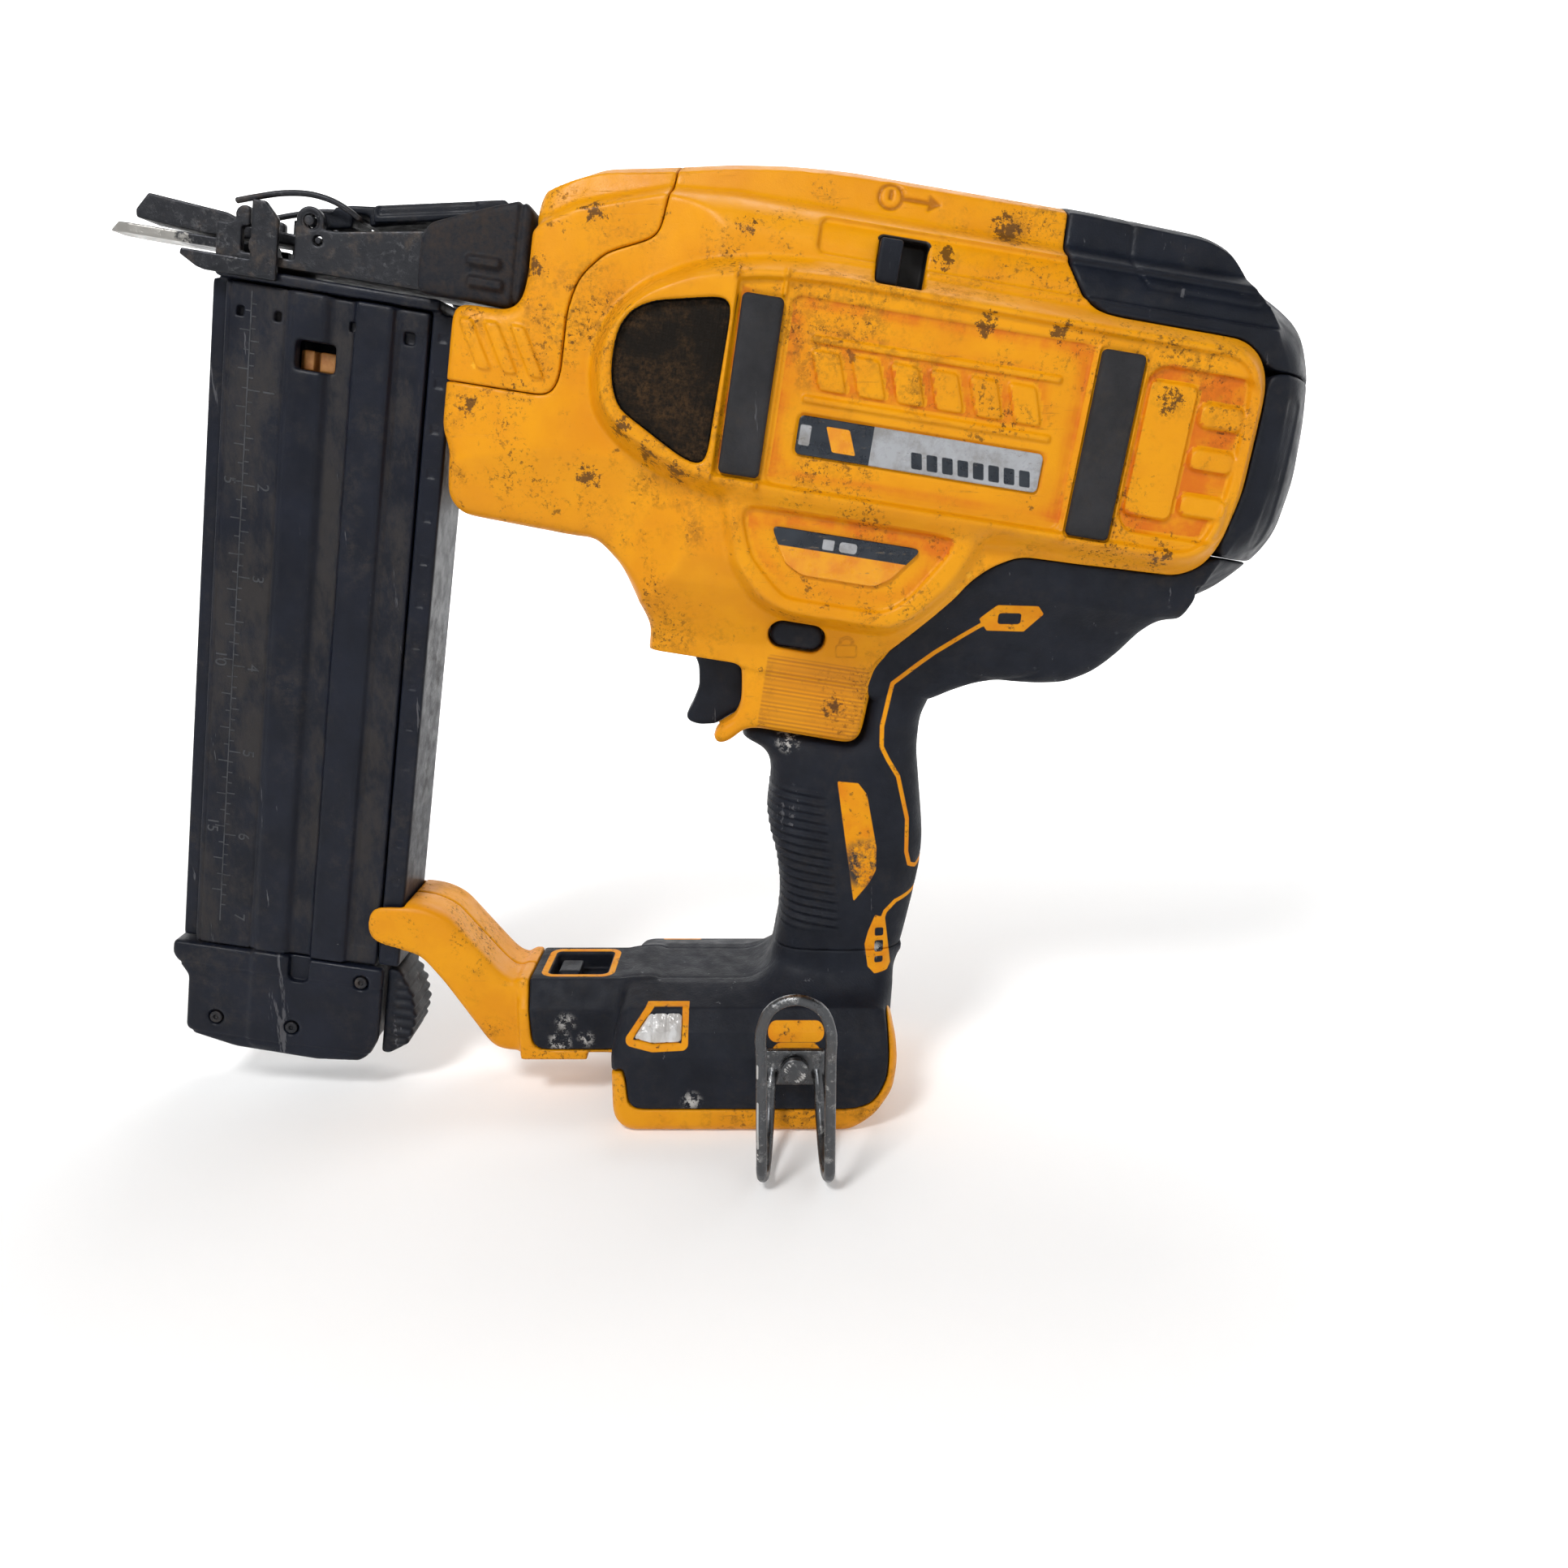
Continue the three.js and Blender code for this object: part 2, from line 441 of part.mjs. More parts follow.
function latchBail() {
  const leg = (y) => [[37.6, y, 11.4], [43, y, 13.2], [50, y, 15.2], [57, y, 16], [63, y, 15.2],
    [67.5, y, 13.4]];
  const corner = [[BAIL_PIVOT.u, -11.4, BAIL_PIVOT.w], [BAIL_PIVOT.u, 0, BAIL_PIVOT.w],
    [BAIL_PIVOT.u, 11.4, BAIL_PIVOT.w]];
  return tube([...leg(-12.1), ...corner, ...leg(12.1).reverse()], 0.85, 8, 48);
}
put(drive, "latch_bail", STEEL, latchBail());

// ---------------------------------------------------------------- magazine
function magazineTrack() {
  const section = [[31, -9], [35.4, -9], [35.4, 4.8], [52, 4.8], [52, 5.6], [70, 5.6], [70, 4.8],
    [90.6, 4.8], [90.6, -11],
    [97, -11], [97, MAG_HALF], [31, MAG_HALF]];
  const rail = alongZ(section, MAG_BOTTOM, -8);
  const top = box(33, 93, -12.9, 12.9, -7.6, -4.6);
  const slot = box(57.5, 63, -2, 2, -20, 0);
  const bridge = box(33, 93, 4.8, 12, -9, -6);
  return cut(join(rail, top, bridge), slot);
}
put(drive, "magazine_track", DARK_STEEL, magazineTrack());

function magazineCover() {
  const section = [[35.8, -12], [53, -12], [54.5, -13], [62.5, -13], [64.5, -11], [70, -11], [71, -13],
    [80.5, -13],
    [81.5, -11.4], [90.2, -11.4], [90.2, -8.4], [53, -8.4], [53, -5], [35.8, -5]];
  const window = box(55.5, 65.5, -20, 0, -28, -20.5);
  return cut(alongZ(section, -197.8, -8.2), window);
}
put(drive, "magazine_cover", BLACK, magazineCover());

const CAP_SCREWS = [[43.5, -221.5], [66.5, -221.5], [86.5, -203.5]];
function endCap() {
  const outline = [[29.5, -198.2], [93, -198.2], [93, -222], [91, -227], [88, -229.5], [75, -231],
    [50, -230.5], [37, -228],
    [34.5, -226], [34.5, -209], [29.5, -202.5]];
  const seats = CAP_SCREWS.map(([u, w]) => crossBar(u, w, 2.3, -20, -10.8));
  return cut(plate(outline, -13, 13), box(89.6, 94, -9.4, 9.4, -240, -198), ...seats);
}
put(drive, "magazine_end_cap", BLACK, endCap());
CAP_SCREWS.forEach(([u, w], i) => {
  put(drive, `end_cap_screw_${i + 1}`, DARK_STEEL, cut(crossBar(u, w, 1.9, -12.8, -11.1),
    crossBar(u, w, 0.8, -14, -12, 6)));
});
put(drive, "magazine_latch", BLACK, plate([
  [93.4, -199], [97, -199.3], [101.5, -207], [103.3, -214.5], [102.5, -220], [100.8, -224], [96, -227.5],
  [93.4, -227.5],
], -9, 9));
function pusher() {
  const body = box(54, 68, -4.6, 4.4, -58, -22.6);
  const tab = (u0, u1) => box(u0, u1, -8, -4, -28, -22.6);
  return join(body, tab(56, 59), tab(60.5, 65));
}
put(drive, "nail_pusher", TAN, pusher());
put(drive, "pusher_spring_roll", STEEL, turned([[2, -3.4], [5.4, -3.4], [5.4, 3.4], [2, 3.4]], 61, -64.5, 16));

// ---------------------------------------------------------------- controls
function trigger() {
  const face = [[-31, 141.6], [-27, 140.2], [-20, 139.8], [-12, 139.4], [-10, 121.5], [-15.5, 119.5],
    [-20, 116.6], [-25, 116.4],
    [-28, 117.4], [-29, 119], [-27, 122.5], [-24.8, 128], [-24.8, 134], [-26.4, 138]];
  return cut(plate(face, -7.2, 7.2), box(-9.9, 0, -9, 9, 100, 150));
}
put(tool, "trigger", BLACK, trigger());
put(tool, "trigger_lock", BLACK, plate(LOCK_BUTTON(0), -19.4, 15.4));
put(tool, "trigger_switch", BLACK, box(-3.4, 3.2, -6.6, 6.6, 118, 137));
function stallLever() {
  const tab = (side) => sidePlate([[205.2, 14.6], [211, 14.6], [211, 25.4], [205.2, 25.4]], 26, 34, side);
  return join(tab(1), tab(-1), box(205.2, 211, -27, 27, 21.6, 25.4));
}
put(drive, "stall_release_lever", BLACK, stallLever());
put(tool, "mode_switch", BLACK, join(box(-70, -63.5, -4.5, 4.5, 31, 38.2),
  box(-69.5, -64, -5.6, 5.6, 36.4, 37.6)));

// ---------------------------------------------------------------- belt hook
function beltHook() {
  const { x, y, half, top, foot, wire } = HOOK;
  const arch = (angle) => [x + half * Math.cos(angle), y, top - half + half * Math.sin(angle)];
  const arcs = [0, 0.25, 0.5, 0.75, 1].map((t) => arch(Math.PI * (1 - t)));
  const leg = (sign) => [
    [x + sign * 6.4, -39, 22], [x + sign * 6.8, -41.5, 19], [x + sign * 7.2, -45, 12],
    [x + sign * 7.8, -54, foot + 2],
    [x + sign * 8.4, -62, foot],
    [x + sign * half, -68, foot + 3], [x + sign * half, y, foot + 10], [x + sign * half, y, top - half - 8],
  ];
  const loop = tube([...leg(-1), ...arcs, ...leg(1).reverse()], wire, 8, 90);
  const tongue = cut(box(x - 8.6, x + 8.6, -39.8, -37.4, 17.6, 28.4), crossBar(x, 23, 2.3, -50, -30));
  return join(loop, tongue);
}
put(tool, "belt_hook", STEEL, beltHook());
put(tool, "belt_hook_screw", STEEL, join(crossBar(HOOK.x, 23, 4, -42.6, -40.1, 16),
  crossBar(HOOK.x, 23, 2, -42, -31, 12)));

// ---------------------------------------------------------------- inside
put(drive, "flywheel", STEEL, turned([[3.3, 5.6], [20, 5.6], [20, -9], [26, -9], [26, 9], [3.3, 9]],
  FLYWHEEL.u, FLYWHEEL.w, 36));
put(drive, "motor_shaft", STEEL, crossBar(FLYWHEEL.u, FLYWHEEL.w, 3, -21, 21, 16));
put(drive, "motor_stator", COPPER, turned([[5, -10], [19, -10], [19, 5], [5, 5]], FLYWHEEL.u, FLYWHEEL.w, 24));
for (const [side, word] of [[-1, "left"], [1, "right"]]) {
  const near = side * 12;
  const far = side * 20;
  const [low, high] = [near, far].sort((a, b) => a - b);
  const ring = [[3.4, low], [9, low], [9, high], [3.4, high]];
  put(drive, `shaft_bearing_${word}`, STEEL, turned(ring, FLYWHEEL.u, FLYWHEEL.w, 20));
  put(drive, `guide_rod_${word}`, STEEL, sleeveX(121, 286, side * RODS.y, RODS.w, 0.6, RODS.radius, 10));
  put(drive, `return_spring_${word}`, STEEL, sleeveX(128.6, 150, side * RODS.y, RODS.w, 1.9, 3.6, 12));
}
function driver() {
  const blade = box(62, 168, -1.5, 1.5, 0.8, 2.1);
  const profile = box(165, 240, -7, 7, 0.4, 4.2);
  const carriage = join(box(232, 262, -16, 16, 0.4, 4.2), box(232, 262, 9.6, 16, -1.4, 6.2),
    box(232, 262, -16, -9.6, -1.4, 6.2));
  const bore = (y) => sleeveX(225, 270, y, RODS.w, 0.1, RODS.radius + 0.35, 12);
  const core = (y) => box(225, 270, y - 0.3, y + 0.3, RODS.w - 0.3, RODS.w + 0.3);
  return cut(join(blade, profile, carriage), bore(RODS.y), bore(-RODS.y), core(RODS.y), core(-RODS.y));
}
put(drive, "driver", DARK_STEEL, driver());
put(drive, "rear_rod_bracket", DARK_STEEL, box(286.4, 290, -17, 17, -5, 9));
put(drive, "roller_carriage", DARK_STEEL, cut(
  join(box(188, 203.5, -8.9, 8.9, 18.4, 20), box(188, 203.5, 7.5, 8.9, 8, 19),
    box(188, 203.5, -8.9, -7.5, 8, 19)),
  crossBar(196, 11.8, 1.7, -20, 20)));
put(drive, "pinch_roller", STEEL, turned([
  [0.4, -9.3], [1.35, -9.3], [1.35, -7], [6, -7], [6, 7], [1.35, 7], [1.35, 9.3], [0.4, 9.3],
], 196, 11.8, 20));
put(drive, "solenoid", COPPER, solid(new THREE.CylinderGeometry(8.5, 8.5, 18,
  20).rotateX(Math.PI / 2).translate(233, 0, 25)));
put(tool, "control_board", BOARD, box(-38, 16, -22, 22, 21, 23));
put(tool, "battery_terminals", BLACK, box(9, 18.4, -14, 14, 4, 14.8));

// The origin is the middle of the foot's plane under the whole tool's box.
tool.updateMatrixWorld(true);
const extent = new THREE.Box3().setFromObject(tool, true);
tool.position.set(-(extent.min.x + extent.max.x) / 2, -(extent.min.y + extent.max.y) / 2, -extent.min.z);

export default tool;
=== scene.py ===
"""Looks of the cordless brad nailer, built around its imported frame.

Casings are signed distance fields sampled on a grid and meshed. An outline in the side view gives each
piece's silhouette, and a half width painted over the side view gives its relief. Small parts take their own
CAD solid's distance field, with the edges rounded off and detail added. Lengths are millimetres. Side-view
points are [x, z] in the foot's frame, or [u, w] in the drive frame, which is tilted nose-up.
"""

import json
import math

import bpy
import numpy as np
import openvdb as vdb
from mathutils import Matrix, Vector


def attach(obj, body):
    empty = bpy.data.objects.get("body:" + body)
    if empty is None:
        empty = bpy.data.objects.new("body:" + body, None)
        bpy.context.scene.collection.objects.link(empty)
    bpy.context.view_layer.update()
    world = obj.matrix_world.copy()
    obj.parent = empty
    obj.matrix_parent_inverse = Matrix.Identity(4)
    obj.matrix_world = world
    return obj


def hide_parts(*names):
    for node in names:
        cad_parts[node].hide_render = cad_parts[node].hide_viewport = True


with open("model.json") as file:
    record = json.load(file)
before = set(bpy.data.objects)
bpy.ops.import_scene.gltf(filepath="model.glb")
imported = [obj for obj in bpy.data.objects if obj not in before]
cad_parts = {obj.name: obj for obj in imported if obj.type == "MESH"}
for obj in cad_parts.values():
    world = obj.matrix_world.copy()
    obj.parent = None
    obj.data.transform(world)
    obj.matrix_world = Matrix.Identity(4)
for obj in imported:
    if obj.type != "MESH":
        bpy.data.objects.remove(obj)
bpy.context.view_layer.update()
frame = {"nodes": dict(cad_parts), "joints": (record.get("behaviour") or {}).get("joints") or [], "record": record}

# ------------------------------------------------------------------ frames
TILT = math.radians(9)
COS, SIN = math.cos(TILT), math.sin(TILT)
MUZZLE = (-182.5, 252.0)
LEVER_PIVOT = (57.3, 9.5)
SEAM = 0.25  # half the groove between the two casing halves


def to_foot(u, w):
    """A drive-frame point as x, z in the foot's frame."""
    return MUZZLE[0] + u * COS + w * SIN, MUZZLE[1] - u * SIN + w * COS


def to_drive(x, z):
    dx, dz = x - MUZZLE[0], z - MUZZLE[1]
    return dx * COS - dz * SIN, dx * SIN + dz * COS


# The foot frame's origin in the row, found from where the latch lever turns.
lever = next(j for j in frame["joints"] if j["name"] == "latch_lever_hinge")
pivot_x, pivot_z = to_foot(*LEVER_PIVOT)
ORIGIN = np.array(lever["pos_m"]) - np.array([pivot_x, 0.0, pivot_z]) / 1000


# ------------------------------------------------------------------ distance fields
class Grid:
    """A block of space. a and b are the side view's axes and y goes across; drive says which frame."""

    def __init__(self, a0, a1, y0, y1, b0, b1, step, drive=True):
        self.low, self.step, self.drive = (a0, y0, b0), step, drive
        self.a = np.arange(a0, a1, step, dtype=np.float32)[:, None]
        self.b = np.arange(b0, b1, step, dtype=np.float32)[None, :]
        self.y = np.arange(y0, y1, step, dtype=np.float32)[None, :, None]
        self.flat = np.broadcast_arrays(self.a, self.b)
        self.u, self.w = self.flat if drive else to_drive(*self.flat)
        self.x, self.z = to_foot(*self.flat) if drive else self.flat

    def outline(self, points, drive=True, round_by=2.0):
        """Signed distance to a closed outline in the side view, negative inside, with its corners rounded."""
        distance = polygon(self.u, self.w, points) if drive else polygon(self.x, self.z, points)
        return self.soften(distance, round_by) if round_by else distance

    def box(self, a0, a1, b0, b1, radius=0.5):
        """A rectangle with rounded corners in the grid's own side view."""
        return slab(*self.flat, a0, a1, b0, b1, radius)

    def soften(self, field, radius):
        return blur(field, max(1, round(radius / self.step)), (0, 1))


def blur(field, reach, axes):
    """Two passes of a running mean over 2 * reach + 1 samples along each axis."""
    for axis in axes:
        size = field.shape[axis]
        for _ in range(2):
            pad = [(reach + 1, reach) if k == axis else (0, 0) for k in range(field.ndim)]
            total = np.cumsum(np.pad(field, pad, mode="edge"), axis=axis, dtype=np.float64)
            window = 2 * reach + 1
            high = np.take(total, range(window, window + size), axis=axis)
            field = ((high - np.take(total, range(size), axis=axis)) / window).astype(np.float32)
    return field


def polygon(a, b, points):
    a, b = np.broadcast_arrays(np.float32(a), np.float32(b))
    best = np.full(a.shape, 1e9, np.float32)
    inside = np.zeros(a.shape, bool)
    for (x0, y0), (x1, y1) in zip(points, points[1:] + points[:1]):
        ex, ey = x1 - x0, y1 - y0
        t = np.clip(((a - x0) * ex + (b - y0) * ey) / (ex * ex + ey * ey), 0, 1)
        best = np.minimum(best, (a - x0 - t * ex) ** 2 + (b - y0 - t * ey) ** 2)
        if y1 != y0:
            inside ^= ((y0 > b) != (y1 > b)) & (a < ex * (b - y0) / (y1 - y0) + x0)
    return np.where(inside, -1, 1) * np.sqrt(best)


def polyline(a, b, points):
    """Distance to an open line through points."""
    best = np.full(np.broadcast(a, b).shape, 1e9, np.float32)
    for (x0, y0), (x1, y1) in zip(points, points[1:]):
        ex, ey = x1 - x0, y1 - y0
        t = np.clip(((a - x0) * ex + (b - y0) * ey) / (ex * ex + ey * ey), 0, 1)
        best = np.minimum(best, (a - x0 - t * ex) ** 2 + (b - y0 - t * ey) ** 2)
    return np.sqrt(best)


def disc(a, b, centre_a, centre_b, radius):
    return np.hypot(a - centre_a, b - centre_b) - radius


def slab(a, b, a0, a1, b0, b1, radius=0.5):
    """A rectangle with rounded corners."""
    qa = np.abs(a - (a0 + a1) / 2) - (a1 - a0) / 2 + radius
    qb = np.abs(b - (b0 + b1) / 2) - (b1 - b0) / 2 + radius
    return np.hypot(np.maximum(qa, 0), np.maximum(qb, 0)) + np.minimum(np.maximum(qa, qb), 0) - radius


def smax(p, q, k):
    """The larger of two fields, with its edge rounded over about k."""
    h = np.clip(0.5 - 0.5 * (q - p) / k, 0, 1)
    return q * (1 - h) + p * h + k * h * (1 - h)


def smin(p, q, k):
    return -smax(-p, -q, k)


def rise(distance, width):
    """1 inside an outline, 0 outside, with a slope of the given width across its edge."""
    t = np.clip(0.5 - distance / width, 0, 1)
    return t * t * (3 - 2 * t)


def ramp(at, places, values):
    """A value that runs straight between the given places."""
    return np.interp(at, places, values).astype(np.float32)


def waves(distance, pitch):
    return np.sin(distance * 2 * math.pi / pitch)


def grown(rectangle, margin):
    a0, a1, b0, b1 = rectangle
    return a0 - margin, a1 + margin, b0 - margin, b1 + margin


def side(field):
    """A side-view field given its third axis, across."""
    return np.asarray(field, np.float32)[:, None, :]


def spread(grid, outline, half, k):
    """A solid as wide on each side as half says, inside an outline, with edges rounded by k."""
    if np.ndim(half) == 0:
        return smax(side(outline), np.abs(grid.y) - half, k)
    ga, gb = np.gradient(half, grid.step)
    slope = 1 / np.sqrt(1 + np.minimum(ga**2 + gb**2, 3))
    return smax(side(outline), (np.abs(grid.y) - side(half)) * side(slope), k)


def carve(field, cut, k=0.6):
    return smax(field, -cut, k)


def sink(field, grid, outline, floor, k, corner=0.5):
    """Cuts away what is inside an outline and beyond y = floor."""
    return carve(field, smax(side(outline), floor - grid.y, corner), k)


def hollow(field, grid, outline, reach, k, corner=0.5):
    """Cuts away what is inside an outline and short of y = reach."""
    return carve(field, smax(side(outline), grid.y - reach, corner), k)


def press(field, shape, depth, edge, where=1):
    """Presses a side-view shape in by depth, or raises it where depth is negative."""
    return field + depth * side(rise(shape, edge)) * where


def plate(grid, outline, front, back, k, back_k):
    """A thin plate inside an outline, from y = back out to the field front."""
    return smax(smax(side(outline), front, k), back - grid.y, back_k)


# ------------------------------------------------------------------ meshes
def surface(grid, field):
    """The zero surface of a field as points in millimetres and quads."""
    band = 3 * grid.step
    volume = vdb.FloatGrid(band)
    volume.copyFromArray(np.ascontiguousarray(np.clip(field, -band, band), np.float32))
    points, quads = volume.convertToQuads(0.0)
    return points * grid.step + np.array(grid.low), quads


def place(points, drive):
    """Points in mm as metres in the row frame."""
    x, z = to_foot(points[:, 0], points[:, 2]) if drive else (points[:, 0], points[:, 2])
    return np.stack([x, points[:, 1], z], 1) / 1000 + ORIGIN


def make(name, parts, material, body="tool_body", stands_for=(), paints=None, sign=1):
    """One object from meshed fields. Each part is (grid, points, quads); sign -1 mirrors it to the left side.

    paints gives named values at each point, from the drive frame's u and w and the foot frame's x, y and z.
    """
    coords, faces, count = [], [], 0
    for grid, points, quads in parts:
        coords.append(place(points * (1, sign, 1), grid.drive))
        faces.append((quads if sign < 0 else quads[:, ::-1]) + count)
        count += len(points)
    coords, faces = np.concatenate(coords), np.concatenate(faces)
    mesh = bpy.data.meshes.new(name)
    mesh.vertices.add(len(coords))
    mesh.vertices.foreach_set("co", coords.astype(np.float32).ravel())
    mesh.loops.add(faces.size)
    mesh.loops.foreach_set("vertex_index", np.ascontiguousarray(faces, np.int32).ravel())
    mesh.polygons.add(len(faces))
    mesh.polygons.foreach_set("loop_start", np.arange(0, faces.size, 4, dtype=np.int32))
    mesh.update(calc_edges=True)
    mesh.validate()
    for key, paint in (paints or {}).items():
        x, y, z = ((coords - ORIGIN) * 1000).T
        value = paint(*to_drive(x, z), x, y, z)
        mesh.attributes.new(key, "FLOAT", "POINT").data.foreach_set("value", value.astype(np.float32))
    mesh.shade_smooth()
    mesh.materials.append(material)
    obj = bpy.data.objects.new(name, mesh)
    bpy.context.scene.collection.objects.link(obj)
    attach(obj, body)
    if stands_for:
        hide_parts(*stands_for)
    return obj


def pair(name, fields, material, paints=None):
    """The right piece and its mirror image, standing for the CAD nodes name_left and name_right."""
    parts = [(grid, *surface(grid, field)) for grid, field in fields]
    for word, sign in (("right", 1), ("left", -1)):
        node = f"{name}_{word}"
        make(f"{node}_skin", parts, material, "tool_body", [node], paints, sign)


def single(node, fields, material, body="tool_body", paints=None):
    parts = [(grid, *surface(grid, field)) for grid, field in fields]
    return make(f"{node}_skin", parts, material, body, [node], paints)


def refine(node, material, body, step, radius, drive, detail, paints):
    """The CAD node again with its edges rounded off, and with detail(grid, field) added."""
    source = frame["nodes"][node].data
    points = np.empty(len(source.vertices) * 3, np.float32)
    source.vertices.foreach_get("co", points)
    points = (points.reshape(-1, 3) - ORIGIN) * 1000
    if drive:
        u, w = to_drive(points[:, 0], points[:, 2])
        points = np.stack([u, points[:, 1], w], 1)
    source.calc_loop_triangles()
    corners = np.empty(len(source.loop_triangles) * 3, np.int32)
    source.loop_triangles.foreach_get("vertices", corners)
    margin = 5 * step
    low, high = points.min(0) - margin, points.max(0) + margin
    band = max(4, radius / step + 3)
    level = vdb.FloatGrid.createLevelSetFromPolygons(
        np.ascontiguousarray((points - low) / step, np.float32),
        triangles=corners.reshape(-1, 3).astype(np.uint32), halfWidth=band)
    grid = Grid(low[0], high[0], low[1], high[1], low[2], high[2], step, drive)
    field = np.full((grid.a.shape[0], grid.y.shape[1], grid.b.shape[1]), band, np.float32)
    level.copyToArray(field)
    field = blur(field, max(1, round(radius / step)), (0, 1, 2)) * step
    if detail:
        field = detail(grid, field)
    return single(node, [(grid, field)], material, body, paints)


# ------------------------------------------------------------------ materials
class Paint:
    """A Principled material and short calls for the nodes that feed it. Scales are per metre."""

    def __init__(self, name):
        self.material = bpy.data.materials.new(name)
        self.material.use_nodes = True
        self.tree = self.material.node_tree
        self.shader = self.tree.nodes["Principled BSDF"]
        self.position = self.node("ShaderNodeTexCoord").outputs["Object"]
        self.geometry = self.node("ShaderNodeNewGeometry")

    def node(self, kind, **values):
        made = self.tree.nodes.new(kind)
        for key, value in values.items():
            setattr(made, key, value)
        return made

    def feed(self, socket, value):
        if isinstance(value, bpy.types.NodeSocket):
            self.tree.links.new(value, socket)
        else:
            socket.default_value = value

    def calculate(self, operation, first, second):
        made = self.node("ShaderNodeMath", operation=operation)
        self.feed(made.inputs[0], first)
        self.feed(made.inputs[1], second)
        return made.outputs[0]

    def times(self, first, second):
        return self.calculate("MULTIPLY", first, second)

    def plus(self, first, second):
        return self.calculate("ADD", first, second)

    def larger(self, first, second):
        return self.calculate("MAXIMUM", first, second)

    def stretched(self, stretch, turn=0.0):
        made = self.node("ShaderNodeMapping")
        self.feed(made.inputs["Vector"], self.position)
        made.inputs["Scale"].default_value = stretch
        made.inputs["Rotation"].default_value = (0, turn, 0)
        return made.outputs[0]

    def noise(self, scale, detail=5.0, rough=0.6, stretch=None, turn=0.0):
        made = self.node("ShaderNodeTexNoise")
        self.feed(made.inputs["Vector"], self.stretched(stretch, turn) if stretch else self.position)
        made.inputs["Scale"].default_value = scale
        made.inputs["Detail"].default_value = detail
        made.inputs["Roughness"].default_value = rough
        return made.outputs["Fac"]

    def between(self, value, low, high, start=0.0, end=1.0):
        made = self.node("ShaderNodeMapRange", interpolation_type="SMOOTHSTEP")
        self.feed(made.inputs["Value"], value)
        for key, number in zip(("From Min", "From Max", "To Min", "To Max"), (low, high, start, end)):
            made.inputs[key].default_value = number
        return made.outputs["Result"]

    def patches(self, low, high, *noise):
        """1 where noise with the given scale, detail and so on is above high, and 0 where it is below low."""
        return self.between(self.noise(*noise), low, high)

    def painted(self, name):
        return self.node("ShaderNodeAttribute", attribute_name=name).outputs["Fac"]

    def mix(self, first, second, amount):
        made = self.node("ShaderNodeMix", data_type="RGBA")
        self.feed(made.inputs[0], amount)
        for socket, value in ((made.inputs[6], first), (made.inputs[7], second)):
            self.feed(socket, (*value, 1.0) if isinstance(value, tuple) else value)
        return made.outputs[2]

    def edges(self, low=0.53, high=0.6):
        return self.between(self.geometry.outputs["Pointiness"], low, high)

    def hollows(self, low=0.47, high=0.4):
        return self.between(self.geometry.outputs["Pointiness"], high, low, 1.0, 0.0)

    def bump(self, height, distance, strength=1.0, under=None):
        made = self.node("ShaderNodeBump")
        self.feed(made.inputs["Height"], height)
        made.inputs["Distance"].default_value = distance
        made.inputs["Strength"].default_value = strength
        if under:
            self.feed(made.inputs["Normal"], under)
        return made.outputs[0]

    def done(self, color, roughness, metallic=0.0, normal=None, specular=0.5, coat=0.0):
        self.feed(self.shader.inputs["Base Color"], color)
        self.feed(self.shader.inputs["Roughness"], roughness)
        self.feed(self.shader.inputs["Metallic"], metallic)
        self.feed(self.shader.inputs["Specular IOR Level"], specular)
        self.feed(self.shader.inputs["Coat Weight"], coat)
        if normal:
            self.feed(self.shader.inputs["Normal"], normal)
        return self.material


YELLOW_COLOR, YELLOW_EDGE_WEAR_AND_HIGHLIGHT = (0.70, 0.285, 0.001), (0.80, 0.40, 0.02)
# The deep orange is a random stain on the trim and labels, and painted shade in the casing's recesses.
ORANGE_STAIN_AND_SHADE, GRIME = (0.56, 0.115, 0.003), (0.03, 0.016, 0.007)
YELLOW_BLOTCH, RIB_SHADE = (0.64, 0.24, 0.001), (0.30, 0.10, 0.01)
SCUFF_BROWN, SIGN_SHADE, PAINTED_PIT_SHADE = (0.045, 0.018, 0.006), (0.26, 0.075, 0.003), (0.012, 0.011, 0.011)
BLACK_COLOR, BLACK_DUST = (0.0042, 0.0058, 0.0105), (0.038, 0.033, 0.029)
RUBBED_BLACK, SCRATCHED_BLACK, WORN_PRINT = (0.045, 0.048, 0.055), (0.13, 0.13, 0.14), (0.03, 0.028, 0.026)
PALE_FLECK, OLD_PAINT = (0.42, 0.40, 0.37), (0.48, 0.47, 0.45)
RUST, SAWDUST, CAKED_DUST = (0.12, 0.075, 0.04), (0.075, 0.055, 0.04), (0.11, 0.08, 0.055)
MESH_BLACK, MESH_DUST = (0.010, 0.008, 0.006), (0.075, 0.04, 0.016)
PLATE_DARK = ((0.006, 0.01, 0.017), (0.014, 0.02, 0.03))
PLATE_LIGHT = ((0.33, 0.34, 0.36), (0.22, 0.215, 0.21))
PLATE_SCUFF, LENS_TONES = (0.12, 0.09, 0.06), ((0.62, 0.6, 0.58), (0.86, 0.86, 0.86))
PRINT_TONES = ((0.034, 0.036, 0.042), (0.013, 0.015, 0.019))


